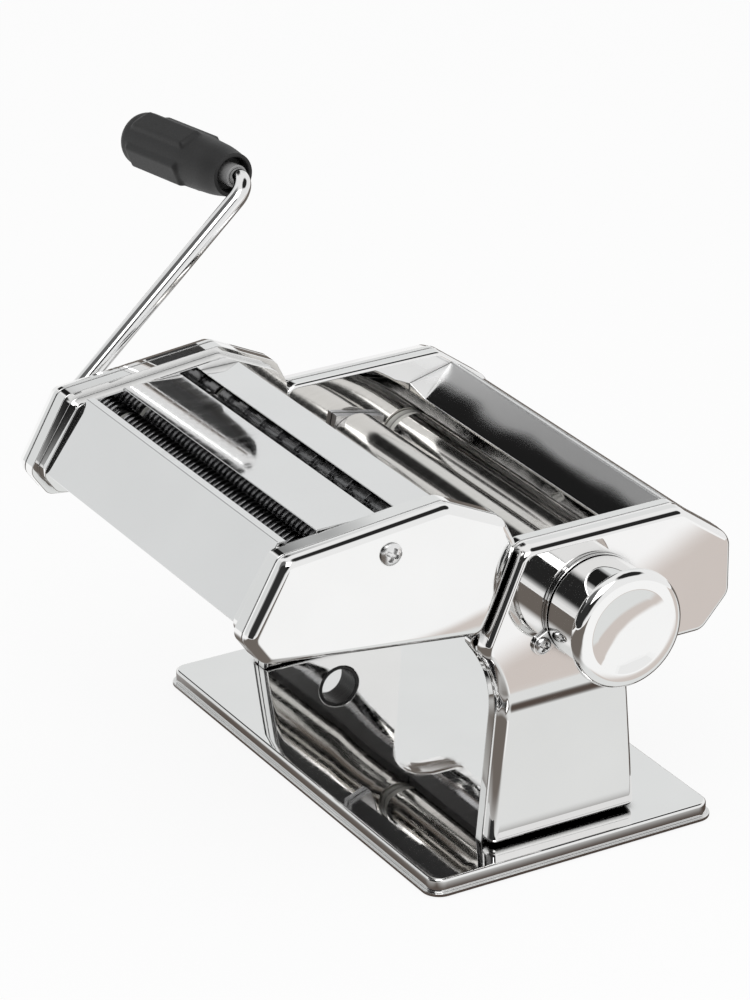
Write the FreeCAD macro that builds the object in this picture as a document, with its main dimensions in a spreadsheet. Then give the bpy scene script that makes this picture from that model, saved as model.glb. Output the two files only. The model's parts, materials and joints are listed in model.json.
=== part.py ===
import FreeCAD, Part
import math
import os
import re
import Sketcher

# A hand-cranked pasta machine: a chromed body with two smooth rollers and a hopper, and a
# lift-off unit with a fine and a wide pair of cutters. X runs along the rollers, towards the
# knob. Y runs from the front to the back. Z is up, with the table at zero.

SIZES = {
    # Base
    "base_margin": 11.7,
    "base_depth": 123.0,
    "base_top": 7.0,
    "base_hem": 1.4,
    "base_lip": 1.4,
    "base_sheet": 1.2,
    "base_corner": 7.0,
    "base_edge": 1.2,
    "foot_lift": 0.6,
    "foot_radius": 6.0,
    "foot_inset": 15.0,
    "screw_radius": 1.6,
    "screw_head": 3.1,
    "screw_head_height": 1.8,
    "screw_clear": 0.15,
    "leg_screw_inset": 14.0,
    # Side frames and their outline, seen from the end
    "frame_inner": 79.0,
    "frame_depth": 5.0,
    "frame_sheet": 1.2,
    "rim_round": 1.5,
    "head_top": 125.3,
    "head_front": -17.5,
    "head_crown": 50.3,
    "head_back": 72.4,
    "back_top": 109.2,
    "back_low": 86.4,
    "belly_back": 60.3,
    "head_bottom": 73.1,
    "leg_back_top": 28.6,
    "leg_back": 33.5,
    "leg_front": -30.0,
    "waist_front": -23.4,
    "waist_height": 71.5,
    "hip_front": -37.0,
    "hip_height": 92.0,
    "rail_foot": -32.1,
    "head_round": 7.0,
    "waist_round": 14.0,
    "neck_round": 42.0,
    "hip_round": 2.4,
    # Side covers
    "cover_gap": 0.5,
    "cover_lip": 2.0,
    "leg_rise": 3.8,
    "head_rise": 5.6,
    "bevel_angle": 14.0,
    "cover_sheet": 1.0,
    "slope_top": 68.6,
    "slope_bottom": 58.4,
    "stud_radius": 3.0,
    "front_stud_in": 1.8,
    "back_stud_in": 14.0,
    "leg_stud_up": 26.0,
    # Tie rods and the clamp hole
    "tie_radius": 3.0,
    "tie_end": 2.0,
    "front_tie_in": 9.8,
    "front_tie_up": 12.5,
    "belly_tie_in": 5.0,
    "belly_tie_up": 10.0,
    "crown_tie_in": 2.0,
    "crown_tie_up": 1.5,
    "chin_tie_in": 18.0,
    "seat_tie_in": 16.0,
    "seat_tie_up": 12.0,
    "nut_flats": 7.0,
    "nut_height": 2.4,
    "clamp_axis_y": 3.5,
    "clamp_axis_z": 23.0,
    "clamp_radius": 7.5,
    "clamp_wall": 1.5,
    # Smooth rollers
    "roller_length": 151.0,
    "roller_radius": 12.0,
    "rear_axis_y": 36.3,
    "rear_axis_z": 91.4,
    "roller_tilt": 12.4,
    "gap_widest": 3.0,
    "gap_travel": 2.5,
    "rear_journal": 6.0,
    "front_journal": 8.0,
    "front_bore": 5.0,
    "running_gap": 0.05,
    "bush_wall": 3.0,
    "bush_flange": 2.0,
    # Roller gears
    "roller_teeth": 12.0,
    "gear_width": 4.6,
    "gear_standoff": 0.5,
    "tooth_share": 0.40,
    "tooth_foot": 1.45,
    "tooth_tip": 0.5,
    "root_depth": 1.25,
    # Adjusting carriage, cam and knob
    "slide_gap": 0.2,
    "carrier_boss": 10.0,
    "carrier_half": 11.0,
    "carrier_plate": 2.6,
    "carrier_flange": 3.8,
    "scraper_gap": 0.6,
    "scraper_drop": 4.6,
    "scraper_half": 5.0,
    "cam_width": 3.4,
    "cam_depth": 2.2,
    "cam_start_gap": 0.6,
    "cam_radius": 11.8,
    "cam_start": 6.3,
    "cam_pin": 1.5,
    "cam_clear": 0.15,
    "cam_run_on": 20.0,
    "knob_sweep": 270.0,
    "knob_slack": 1.0,
    "stub_radius": 4.0,
    "collar_radius": 20.2,
    "collar_length": 10.0,
    "collar_wall": 1.4,
    "collar_lug": 3.8,
    "collar_lug_drop": 23.9,
    "collar_turn": -64.0,
    "knob_gap": 0.6,
    "knob_skirt": 19.9,
    "knob_rim": 22.8,
    "knob_length": 24.3,
    "knob_rim_width": 5.0,
    "knob_round": 3.4,
    "knob_dish": 16.6,
    "knob_dish_depth": 2.6,
    "knob_wall": 1.6,
    "knob_web": 6.0,
    "knob_pull": 4.0,
    "stop_pin": 1.5,
    "stop_orbit": 13.0,
    # Hopper behind the rollers
    "hopper_lip_y": 36.2,
    "hopper_lip_z": 112.6,
    "hopper_top_y": 55.6,
    "hopper_top_z": 119.8,
    "hopper_inset": 11.5,
    "hopper_sheet": 1.0,
    "hopper_roll": 1.7,
    "wing_rise": 2.4,
    "panel_inset": 1.6,
    "panel_fold": 8.0,
    # Cutter unit outline, seen from the end
    "cutter_gap": 0.8,
    "brow_front": -112.7,
    "brow_height": 143.0,
    "crest_back": -47.3,
    "crest_height": 149.0,
    "nape_back": -23.3,
    "nape_height": 137.5,
    "tail_height": 126.5,
    "seat_height": 93.4,
    "chin_front": -121.3,
    "chin_height": 104.5,
    "nose_front": -128.6,
    "nose_height": 115.0,
    "cutter_round": 5.0,
    "cutter_rim": 78.5,
    "cutter_rim_depth": 5.5,
    "cutter_floor": 73.0,
    "neck_step": 2.6,
    "cap_rise": 4.0,
    "cap_angle": 18.0,
    "cap_screw_y": -71.4,
    "cap_screw_z": 136.3,
    "cap_screw_head": 4.2,
    "hook_depth": 3.0,
    "hook_sheet": 1.4,
    "hook_gap": 0.3,
    "hook_length": 24.0,
    # Cutter deck sheets
    "deck_sheet": 0.8,
    "panel_foot_y": -124.6,
    "panel_foot_z": 115.9,
    "panel_head_y": -106.6,
    "panel_head_z": 142.2,
    "panel_lip": 3.2,
    "front_slot_back": -91.5,
    "rear_slot_front": -66.6,
    "rear_slot_back": -58.4,
    "deck_rise": 0.4,
    "deck_skirt": 6.0,
    # Cutter rollers
    "drive_axis_y": -104.8,
    "drive_axis_z": 126.8,
    "pair_pitch": 34.3,
    "cutter_spacing": 15.2,
    "cutter_radius": 8.1,
    "cutter_root": 6.4,
    "cutter_side_gap": 1.2,
    "socket_journal": 5.6,
    "cutter_journal": 4.0,
    "wide_strip": 6.5,
    "fine_strip": 1.6,
    "strip_clear": 0.15,
    "cutter_teeth": 12.0,
    "comb_gap": 0.7,
    # Crank
    "crank_radius": 3.5,
    "crank_reach": 113.0,
    "crank_angle": 42.3,
    "crank_plane": 100.0,
    "crank_bend": 8.0,
    "crank_clear": 0.1,
    "socket_depth": 17.0,
    "cross_pin": 1.4,
    "cross_pin_inset": 4.0,
    "cross_slot_clear": 0.25,
    "grip_tilt": 6.0,
    "grip_length": 68.0,
    "grip_start": 11.6,
    "grip_radius": 10.8,
    "grip_mouth": 7.0,
    "grip_mouth_depth": 6.0,
    "grip_near": 8.4,
    "grip_neck": 9.0,
    "grip_neck_radius": 10.0,
    "grip_swell": 25.0,
    "grip_wall": 5.0,
    "grip_pads": 4.0,
    "grip_pad_start": 24.0,
    "grip_pad_end": 60.0,
    "grip_pad_width": 9.0,
    "grip_pad_rise": 0.8,
    "grip_pad_turn": 22.0,
    "grip_gap": 0.1,
    "ferrule_radius": 4.5,
    "ferrule_length": 8.3,
}

doc = FreeCAD.newDocument("pasta_machine")
sheet = doc.addObject("Spreadsheet::Sheet", "Sizes")
for row, (alias, number) in enumerate(SIZES.items(), start=1):
    sheet.set(f"A{row}", alias)
    sheet.set(f"B{row}", str(number))
    sheet.setAlias(f"B{row}", alias)
doc.recompute()

nodes = {}
SIDES = (("left", -1), ("right", 1))

# Worked-out places, each written once as an expression on the sheet's sizes
SPACING = "(2 * roller_radius + gap_widest)"
FRONT_Y = f"(rear_axis_y - {SPACING} * cos(roller_tilt))"
FRONT_Z = f"(rear_axis_z + {SPACING} * sin(roller_tilt))"
KNOB_Y = f"({FRONT_Y} + gap_travel / 2 * cos(roller_tilt))"
KNOB_Z = f"({FRONT_Z} - gap_travel / 2 * sin(roller_tilt))"
FRAME_FLOOR = "(frame_inner + frame_sheet)"
FRAME_OUTER = "(frame_inner + frame_depth)"
COVER_START = f"({FRAME_OUTER} + cover_gap)"
COVER_RIM = f"({COVER_START} + cover_lip)"
LEG_FACE = f"({COVER_RIM} + leg_rise)"
BASE_HALF = f"({LEG_FACE} + base_margin)"
HEAD_FACE = f"({COVER_RIM} + head_rise)"
RAIL_LEAN = "((head_front - rail_foot) / (head_top - hip_height))"
RAIL_ANGLE = f"atan({RAIL_LEAN})"
TAIL_Y = f"(rail_foot + (tail_height - hip_height) * {RAIL_LEAN} - cutter_gap / cos({RAIL_ANGLE}))"
SEAT_Y = f"(rail_foot + (seat_height - hip_height) * {RAIL_LEAN} - cutter_gap / cos({RAIL_ANGLE}))"
CUTTER_INNER = "(cutter_floor + frame_sheet)"
CAP_START = "(cutter_rim + cutter_rim_depth + cover_gap)"
CAP_RIM = f"({CAP_START} + cover_lip)"
CAP_FACE = f"({CAP_RIM} + cap_rise)"
COLLAR_END = f"({HEAD_FACE} + collar_length)"
KNOB_BACK = f"({HEAD_FACE} + collar_wall + knob_gap)"
KNOB_FRONT = f"({KNOB_BACK} + knob_length)"
KNOB_WEB_BACK = f"({KNOB_FRONT} - knob_dish_depth - knob_web)"
SOCKET_RADIUS = "(crank_radius + crank_clear)"
SCREW_HOLE = "(screw_radius + screw_clear)"


def link(text):
    # Puts the sheet's name in front of every size in an expression
    return re.sub(r"[a-z_]+", lambda m: f"Sizes.{m[0]}" if m[0] in SIZES else m[0], text)


def size(text):
    return float(sheet.evalExpression(text))


def bind(thing, prop, text):
    thing.setExpression(prop, link(text))


def keep(node, thing):
    thing.Label = node
    nodes[node] = thing
    return thing


def place(thing, along="0", across="0", up="0", turn="0"):
    # Turns a piece about X, then moves it
    spin = FreeCAD.Rotation(FreeCAD.Vector(1, 0, 0), size(turn))
    thing.Placement = FreeCAD.Placement(FreeCAD.Vector(), spin)
    for letter, text in zip("xyz", (along, across, up)):
        bind(thing, f"Placement.Base.{letter}", text)


def group(node, pieces):
    compound = doc.addObject("Part::Compound", f"{node}_group")
    compound.Links = pieces
    doc.recompute()
    return keep(node, compound)


def new_body(name):
    return doc.addObject("PartDesign::Body", name)


def new_sketch(body, role, offset="0"):
    # An empty sketch on one of the body's own planes, moved along the plane's normal
    sketch = body.newObject("Sketcher::SketchObject", f"{body.Name}_sketch")
    sketch.AttachmentSupport = [(f, "") for f in body.Origin.OriginFeatures if f.Role == role]
    sketch.MapMode = "FlatFace"
    bind(sketch, "AttachmentOffset.Base.z", offset)
    return sketch


def pin_point(sketch, curve, end, across, up):
    for kind, text in (("DistanceX", across), ("DistanceY", up)):
        where = sketch.addConstraint(Sketcher.Constraint(kind, -1, 1, curve, end, size(text)))
        bind(sketch, f"Constraints[{where}]", text)


def outline(body, role, points, offset="0", rounds=None):
    # A closed outline whose corners are pairs of expressions, each sharp or rounded
    sketch = new_sketch(body, role, offset)
    spots = [FreeCAD.Vector(size(across), size(up), 0) for across, up in points]
    count = len(points)
    rounds = rounds or [None] * count
    trims = []
    for i in range(count):
        before = (spots[i - 1] - spots[i]).normalize()
        after = (spots[(i + 1) % count] - spots[i]).normalize()
        half = before.getAngle(after) / 2
        cut = size(rounds[i]) / math.tan(half) if rounds[i] else 0
        trims.append((spots[i] + before * cut, spots[i] + after * cut, (before + after).normalize(), half))
    for i in range(count):
        sketch.addGeometry(Part.LineSegment(trims[i][1], trims[(i + 1) % count][0]), False)
    for i, (across, up) in enumerate(points):
        if rounds[i] is None:
            sketch.addConstraint(Sketcher.Constraint("Coincident", i - 1 if i else count - 1, 2, i, 1))
            pin_point(sketch, i, 1, across, up)
            continue
        start, end, inward, half = trims[i]
        radius = size(rounds[i])
        middle = spots[i] + inward * (radius / math.sin(half) - radius)
        bend = sketch.addGeometry(Part.Arc(start, middle, end), False)
        spot = sketch.addGeometry(Part.Point(spots[i]), True)
        last = i - 1 if i else count - 1
        turns_left = (start - spots[i]).cross(end - spots[i]).z < 0
        first_end, second_end = (1, 2) if turns_left else (2, 1)
        sketch.addConstraint(Sketcher.Constraint("Tangent", last, 2, bend, first_end))
        sketch.addConstraint(Sketcher.Constraint("Tangent", i, 1, bend, second_end))
        sketch.addConstraint(Sketcher.Constraint("PointOnObject", spot, 1, last))
        sketch.addConstraint(Sketcher.Constraint("PointOnObject", spot, 1, i))
        where = sketch.addConstraint(Sketcher.Constraint("Radius", bend, radius))
        bind(sketch, f"Constraints[{where}]", rounds[i])
        pin_point(sketch, spot, 1, across, up)
    return sketch


def ring(body, role, across, up, radius, offset="0"):
    # A circle placed and sized by expressions
    sketch = new_sketch(body, role, offset)
    middle = FreeCAD.Vector(size(across), size(up), 0)
    sketch.addGeometry(Part.Circle(middle, FreeCAD.Vector(0, 0, 1), size(radius)), False)
    pin_point(sketch, 0, 3, across, up)
    where = sketch.addConstraint(Sketcher.Constraint("Radius", 0, size(radius)))
    bind(sketch, f"Constraints[{where}]", radius)
    return sketch


def pad(body, sketch, length, back=False, both=False):
    feature = body.newObject("PartDesign::Pad", f"{body.Name}_pad")
    feature.Profile = sketch
    bind(feature, "Length", length)
    feature.Reversed = back
    feature.Midplane = both
    doc.recompute()
    return feature


def check_cut(body, before):
    # A cut that points away from the solid removes nothing
    doc.recompute()
    if body.Shape.Volume > before - 1e-6:
        raise RuntimeError(f"{body.Name}: a cut removes nothing")


def pocket(body, sketch, length, back=False, both=False):
    before = body.Shape.Volume
    feature = body.newObject("PartDesign::Pocket", f"{body.Name}_pocket")
    feature.Profile = sketch
    bind(feature, "Length", length)
    feature.Reversed = back
    feature.Midplane = both
    check_cut(body, before)
    return feature


def round_edges(body, radius, pick):
    found = [f"Edge{i}" for i, edge in enumerate(body.Shape.Edges, start=1) if pick(edge)]
    last = body.Tip
    feature = body.newObject("PartDesign::Fillet", f"{body.Name}_fillet")
    feature.Base = (last, found)
    bind(feature, "Radius", radius)
    doc.recompute()
    return feature


def bevel_edges(body, height, inset, pick):
    found = [f"Edge{i}" for i, edge in enumerate(body.Shape.Edges, start=1) if pick(edge)]
    last = body.Tip
    feature = body.newObject("PartDesign::Chamfer", f"{body.Name}_bevel")
    feature.Base = (last, found)
    feature.ChamferType = "Two distances"
    bind(feature, "Size", height)
    bind(feature, "Size2", inset)
    doc.recompute()
    return feature


def hollow(body, wall, pick):
    # Leaves a shell that is open at the picked face
    found = [f"Face{i}" for i, face in enumerate(body.Shape.Faces, start=1) if pick(face)]
    last = body.Tip
    feature = body.newObject("PartDesign::Thickness", f"{body.Name}_shell")
    feature.Base = (last, found)
    feature.Reversed = True
    bind(feature, "Value", wall)
    doc.recompute()
    return feature


def near(a, b):
    return abs(a - b) < 0.01


def in_end_plane(place_x):
    # Picks the edges or faces that lie in one plane across X
    return lambda item: near(item.BoundBox.XMin, size(place_x)) and near(item.BoundBox.XMax, size(place_x))


def turned(name, profile, across="0", up="0", turn="0"):
    # Spins corners of (place along X, radius) about an axis along X
    body = new_body(name)
    sketch = outline(body, "XY_Plane", profile)
    feature = body.newObject("PartDesign::Revolution", f"{name}_turn")
    feature.Profile = sketch
    feature.ReferenceAxis = (sketch, ["H_Axis"])
    feature.Angle = 360
    place(body, "0", across, up, turn)
    doc.recompute()
    return body


def tube(start, end, inner, outer):
    return [(start, inner), (start, outer), (end, outer), (end, inner)]


def prism(name, points, start, length, back=False):
    # A flat outline, seen from the end, drawn out along X
    body = new_body(name)
    pad(body, outline(body, "YZ_Plane", points, start), length, back)
    return body


def spanning(name, points, half):
    # The same, centred between the two sides
    body = new_body(name)
    pad(body, outline(body, "YZ_Plane", points), f"2 * ({half})", both=True)
    return body


def drill(body, side, across, up, radius, start, depth):
    # A round hole along X from a plane, going outwards on the given side
    pocket(body, ring(body, "YZ_Plane", across, up, radius, f"{side} * ({start})"), depth, side > 0)


def carriage(p, q):
    # A place on the sliding carriage: p along its travel and q square to it
    y = f"{FRONT_Y} + ({p}) * cos(roller_tilt) + ({q}) * sin(roller_tilt)"
    z = f"{FRONT_Z} - ({p}) * sin(roller_tilt) + ({q}) * cos(roller_tilt)"
    return y, z


def carriage_box(left, right, low, high):
    return [carriage(left, low), carriage(right, low), carriage(right, high), carriage(left, high)]


def on_rail(v, u):
    # A place by the slanted front rail: v in front of it and u up along it
    y = f"rail_foot + ({u}) * sin({RAIL_ANGLE}) - ({v}) * cos({RAIL_ANGLE})"
    z = f"hip_height + ({u}) * cos({RAIL_ANGLE}) + ({v}) * sin({RAIL_ANGLE})"
    return y, z


def box_points(low, high, front, back):
    return [(front, low), (back, low), (back, high), (front, high)]


# Base: a shallow pressed plate with a hem, on four rubber feet

LEG_SCREWS = ["leg_front + leg_screw_inset", "leg_back - leg_screw_inset"]
LEG_SCREW_X = f"({FRAME_FLOOR} + (frame_depth - frame_sheet) / 2)"
BASE_UNDER = "(base_top - base_sheet)"


def base_outline(inset):
    x = f"({BASE_HALF} - ({inset}))"
    y = f"(base_depth / 2 - ({inset}))"
    return [(f"-{x}", f"-{y}"), (x, f"-{y}"), (x, y), (f"-{x}", y)]


def base_layer(inset):
    return outline(base, "XY_Plane", base_outline(inset), "foot_lift", [f"base_corner - ({inset})"] * 4)


base = new_body("base")
pad(base, base_layer("0"), "base_hem")
pad(base, base_layer("base_lip"), "base_top - foot_lift")
round_edges(base, "base_edge", lambda e: near(e.BoundBox.ZMin, size("base_top")))
pocket(base, base_layer("base_lip + base_sheet"), f"{BASE_UNDER} - foot_lift", back=True)
for side_name, side in SIDES:
    for across in LEG_SCREWS:
        hole = ring(base, "XY_Plane", f"{side} * {LEG_SCREW_X}", across, SCREW_HOLE, BASE_UNDER)
        pocket(base, hole, "base_sheet", back=True)
keep("base_plate", base)


def upright_rod(name, along, across, low, height, radius):
    rod = doc.addObject("Part::Cylinder", name)
    bind(rod, "Radius", radius)
    bind(rod, "Height", height)
    place(rod, along, across, low)
    return rod


feet = []
screws = []
for side_name, side in SIDES:
    for row, way in (("front", -1), ("back", 1)):
        x = f"{side} * ({BASE_HALF} - foot_inset)"
        y = f"{way} * (base_depth / 2 - foot_inset)"
        feet.append(upright_rod(f"foot_{side_name}_{row}", x, y, "0", BASE_UNDER, "foot_radius"))
    for i, across in enumerate(LEG_SCREWS):
        x = f"{side} * {LEG_SCREW_X}"
        screw = doc.addObject("Part::Fuse", f"leg_screw_{side_name}_{i}")
        screw.Base = upright_rod(f"leg_screw_head_{side_name}_{i}", x, across,
                                 f"{BASE_UNDER} - screw_head_height", "screw_head_height", "screw_head")
        screw.Tool = upright_rod(f"leg_screw_shank_{side_name}_{i}", x, across, BASE_UNDER,
                                 "base_sheet + 2 * frame_sheet", "screw_radius")
        screws.append(screw)
group("rubber_feet", feet)
group("leg_screws", screws)


# Side frames: drawn dishes with a flange, open outwards

HEAD = [("head_front", "head_top"), ("head_crown", "head_top"), ("head_back", "back_top"),
        ("head_back", "back_low"), ("belly_back", "head_bottom"), ("leg_back_top", "head_bottom")]
HEAD_ROUNDS = ["head_round"] * 5 + ["waist_round"]
WAIST = [("waist_front", "waist_height")]
SHELF = [("hip_front", "hip_height"), ("rail_foot", "hip_height")]
TIES = [("waist_front + front_tie_in", "waist_height + front_tie_up"),
        ("belly_back - belly_tie_in", "head_bottom + belly_tie_up"),
        ("head_crown + crown_tie_in", "back_top + crown_tie_up")]


def legs(foot):
    return [("leg_back", foot), ("leg_front", foot)]


def carriage_window():
    # Centred on the middle of the travel
    reach = "(carrier_boss + gap_travel / 2 + slide_gap)"
    half = "(carrier_boss + slide_gap)"
    near_p = f"gap_travel / 2 - {reach}"
    far_p = f"gap_travel / 2 + {reach}"
    return carriage_box(near_p, far_p, f"-{half}", half)


bush_hole = "rear_journal + running_gap + bush_wall"
sleeve_hole = "clamp_radius + clamp_wall"
for side_name, side in SIDES:
    frame = new_body(f"frame_{side_name}")
    inner = f"{side} * frame_inner"
    rounds = HEAD_ROUNDS + [None, None, "neck_round", "hip_round", None]
    profile = outline(frame, "YZ_Plane", HEAD + legs("base_top") + WAIST + SHELF, inner, rounds)
    pad(frame, profile, "frame_depth", side < 0)
    round_edges(frame, "rim_round", in_end_plane(inner))
    hollow(frame, "frame_sheet", in_end_plane(f"{side} * {FRAME_OUTER}"))
    drill(frame, side, "rear_axis_y", "rear_axis_z", bush_hole, "frame_inner", "frame_sheet")
    pocket(frame, outline(frame, "YZ_Plane", carriage_window(), inner), "frame_sheet", side > 0)
    for across, up in TIES:
        drill(frame, side, across, up, "tie_end + screw_clear", "frame_inner", "frame_sheet")
    for across in LEG_SCREWS:
        hole = ring(frame, "XY_Plane", f"{side} * {LEG_SCREW_X}", across, SCREW_HOLE, "base_top")
        pocket(frame, hole, "frame_sheet", back=True)
    if side < 0:
        drill(frame, side, "clamp_axis_y", "clamp_axis_z", sleeve_hole, "frame_inner", "frame_sheet")
    keep(f"side_frame_{side_name}", frame)


# Side covers: polished shells with a bevelled head and a lower leg panel

LUG_Y = f"({KNOB_Y} + collar_lug_drop * sin(collar_turn))"
LUG_Z = f"({KNOB_Z} - collar_lug_drop * cos(collar_turn))"
WAIST_LEAN = "((hip_front - waist_front) / (hip_height - waist_height))"
COVER_HIP_Z = (f"((waist_front - rail_foot - {WAIST_LEAN} * waist_height + {RAIL_LEAN} * hip_height)"
               f" / ({RAIL_LEAN} - {WAIST_LEAN}))")
COVER_HIP_Y = f"(waist_front + {WAIST_LEAN} * ({COVER_HIP_Z} - waist_height))"

for side_name, side in SIDES:
    cover = new_body(f"cover_{side_name}")
    inner = f"{side} * {COVER_START}"
    corners = HEAD + legs("base_top + cover_gap") + WAIST + [(COVER_HIP_Y, COVER_HIP_Z)]
    rounds = HEAD_ROUNDS + [None, None, "neck_round", "head_round"]
    profile = outline(cover, "YZ_Plane", corners, inner, rounds)
    pad(cover, profile, "cover_lip + head_rise", side < 0)
    bevel_edges(cover, "head_rise", "head_rise * tan(bevel_angle)", in_end_plane(f"{side} * {HEAD_FACE}"))
    slope = [(f"{side} * {HEAD_FACE}", "slope_top"), (f"{side} * {LEG_FACE}", "slope_bottom"),
             (f"{side} * {LEG_FACE}", "0"), (f"{side} * ({HEAD_FACE} + cover_sheet)", "0"),
             (f"{side} * ({HEAD_FACE} + cover_sheet)", "slope_top")]
    pocket(cover, outline(cover, "XZ_Plane", slope), "base_depth", both=True)
    hollow(cover, "cover_sheet", in_end_plane(inner))
    if side < 0:
        crank_hole = "rear_journal + 2 * cover_sheet"
        drill(cover, side, "rear_axis_y", "rear_axis_z", crank_hole, COVER_RIM, "head_rise")
        drill(cover, side, "clamp_axis_y", "clamp_axis_z", sleeve_hole, COVER_RIM, "head_rise")
    else:
        drill(cover, side, KNOB_Y, KNOB_Z, "stub_radius + slide_gap", COVER_RIM, "head_rise")
        drill(cover, side, LUG_Y, LUG_Z, SCREW_HOLE, COVER_RIM, "head_rise")
    keep(f"side_cover_{side_name}", cover)


# Cover studs, tie rods and their nuts, and the sleeve for the table clamp

STUDS = [("waist_front + front_stud_in", "waist_height + front_tie_up", HEAD_FACE),
         ("head_back - back_stud_in", "back_low + back_stud_in", HEAD_FACE),
         ("clamp_axis_y", "clamp_axis_z + leg_stud_up", LEG_FACE)]

for side_name, side in SIDES:
    studs = []
    for i, (across, up, face) in enumerate(STUDS):
        profile = tube(f"{side} * {FRAME_FLOOR}", f"{side} * ({face} - cover_sheet)", "0", "stud_radius")
        studs.append(turned(f"stud_{side_name}_{i}", profile, across, up))
    group(f"cover_studs_{side_name}", studs)

tie_rods = []
tie_nuts = []
for i, (across, up) in enumerate(TIES):
    rod_end = f"({FRAME_FLOOR} + nut_height)"
    profile = [(f"-{rod_end}", "0"), (f"-{rod_end}", "tie_end"), ("-frame_inner", "tie_end"),
               ("-frame_inner", "tie_radius"), ("frame_inner", "tie_radius"), ("frame_inner", "tie_end"),
               (rod_end, "tie_end"), (rod_end, "0")]
    tie_rods.append(turned(f"tie_rod_{i}", profile, across, up))
    for side_name, side in SIDES:
        nut = new_body(f"tie_nut_{side_name}_{i}")
        corner = "(nut_flats / 2 / cos(30))"
        hexagon = [(f"{corner} * cos({60 * k})", f"{corner} * sin({60 * k})") for k in range(6)]
        pad(nut, outline(nut, "YZ_Plane", hexagon, f"{side} * {FRAME_FLOOR}"), "nut_height", side < 0)
        drill(nut, side, "0", "0", "tie_end + running_gap", FRAME_FLOOR, "nut_height")
        place(nut, "0", across, up)
        tie_nuts.append(nut)
group("tie_rods", tie_rods)
group("tie_nuts", tie_nuts)

sleeve_rim = "clamp_radius + clamp_wall - screw_clear"
keep("clamp_sleeve", turned("sleeve", [("-frame_inner", "clamp_radius"), ("-frame_inner", sleeve_rim),
                                       (f"-{LEG_FACE}", sleeve_rim), (f"-{LEG_FACE}", "clamp_radius")],
                            "clamp_axis_y", "clamp_axis_z"))


# Hopper: a tilted floor with a rolled top edge and a raised wing at each end

HOPPER_HALF = "(frame_inner - slide_gap)"
HOPPER_DROP = "(hopper_sheet / cos(atan((hopper_top_z - hopper_lip_z) / (hopper_top_y - hopper_lip_y))))"

hopper_floor = spanning("hopper_floor", [
    ("hopper_lip_y", "hopper_lip_z"), ("hopper_top_y", "hopper_top_z"),
    ("hopper_top_y", f"hopper_top_z - {HOPPER_DROP}"), ("hopper_lip_y", f"hopper_lip_z - {HOPPER_DROP}"),
], HOPPER_HALF)
roll = ring(hopper_floor, "YZ_Plane", "hopper_top_y", "hopper_top_z - hopper_roll", "hopper_roll")
pad(hopper_floor, roll, f"2 * {HOPPER_HALF}", both=True)


def wing(side):
    # A solid of four corners: three on the floor, and one raised beside the frame
    def spot(x, y, z):
        return FreeCAD.Vector(side * size(x), size(y), size(z))
    inner = spot(f"{HOPPER_HALF} - hopper_inset", "hopper_lip_y", "hopper_lip_z")
    outer = spot(HOPPER_HALF, "hopper_lip_y", "hopper_lip_z")
    top = spot(HOPPER_HALF, "hopper_top_y", "hopper_top_z")
    raised = spot(HOPPER_HALF, "hopper_lip_y", "hopper_lip_z + wing_rise")
    sides = [(inner, outer, top), (inner, outer, raised), (outer, top, raised), (inner, top, raised)]
    return Part.Solid(Part.Shell([Part.Face(Part.makePolygon(list(s) + [s[0]])) for s in sides]))


hopper = doc.addObject("Part::Feature", "hopper_with_wings")
hopper.Shape = hopper_floor.Shape.multiFuse([wing(side) for side_name, side in SIDES]).removeSplitter()
keep("hopper", hopper)

panel_top_y = "hopper_top_y + hopper_roll + panel_inset"
PANEL_BEND = "(back_low + panel_inset / 2)"
PANEL_END = "(head_back - panel_inset - panel_fold)"
keep("rear_panel", spanning("back_sheet", [
    (panel_top_y, "hopper_top_z - panel_inset"), ("head_back - panel_inset", "back_top"),
    ("head_back - panel_inset", PANEL_BEND), (PANEL_END, f"{PANEL_BEND} - panel_fold"),
    (f"{PANEL_END} - hopper_sheet / sqrt(2)", f"{PANEL_BEND} - panel_fold + hopper_sheet / sqrt(2)"),
    ("head_back - panel_inset - hopper_sheet", f"{PANEL_BEND} + hopper_sheet * tan(45 / 2)"),
    ("head_back - panel_inset - hopper_sheet", "back_top - panel_inset / 2"),
    (f"{panel_top_y} - hopper_sheet", "hopper_top_z - panel_inset - hopper_sheet"),
], "frame_inner"))

scraper_top = "rear_axis_z - roller_radius - scraper_gap"
scraper_back = "rear_axis_y + 2 * scraper_half"
scraper_points = box_points(f"{scraper_top} - scraper_drop", scraper_top, "rear_axis_y", scraper_back)
keep("rear_scraper", spanning("rear_bar", scraper_points, "frame_inner"))


# Gears: straight teeth on a hub, drawn out along X

def gear(name, teeth, pitch, start, bore, across, up, turn):
    # Tooth height and root depth follow from the pitch radius, and the widths are half angles
    module = f"(2 * {pitch} / {teeth})"
    root = f"({pitch} - root_depth * {module})"
    tip = f"({pitch} + {module})"
    half = f"(tooth_share * 180 / {teeth})"
    width = "gear_width"
    body = new_body(name)
    pad(body, ring(body, "YZ_Plane", "0", "0", root, start), width)
    foot = (f"{root} - {module} / 4", f"tooth_foot * {half}")
    flank = [foot, (pitch, half), (tip, f"tooth_tip * {half}")]
    corners = [(f"({r}) * cos({a})", f"({r}) * sin({a})") for r, a in flank]
    corners += [(f"({r}) * cos({a})", f"-({r}) * sin({a})") for r, a in reversed(flank)]
    tooth = pad(body, outline(body, "YZ_Plane", corners, start), width)
    pattern = body.newObject("PartDesign::PolarPattern", f"{name}_teeth")
    pattern.Originals = [tooth]
    pattern.Axis = ([f for f in body.Origin.OriginFeatures if f.Role == "X_Axis"][0], [""])
    pattern.Angle = 360
    bind(pattern, "Occurrences", teeth)
    body.Tip = pattern
    doc.recompute()
    pocket(body, ring(body, "YZ_Plane", "0", "0", bore, start), width, back=True)
    place(body, "0", across, up, turn)
    return body


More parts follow.
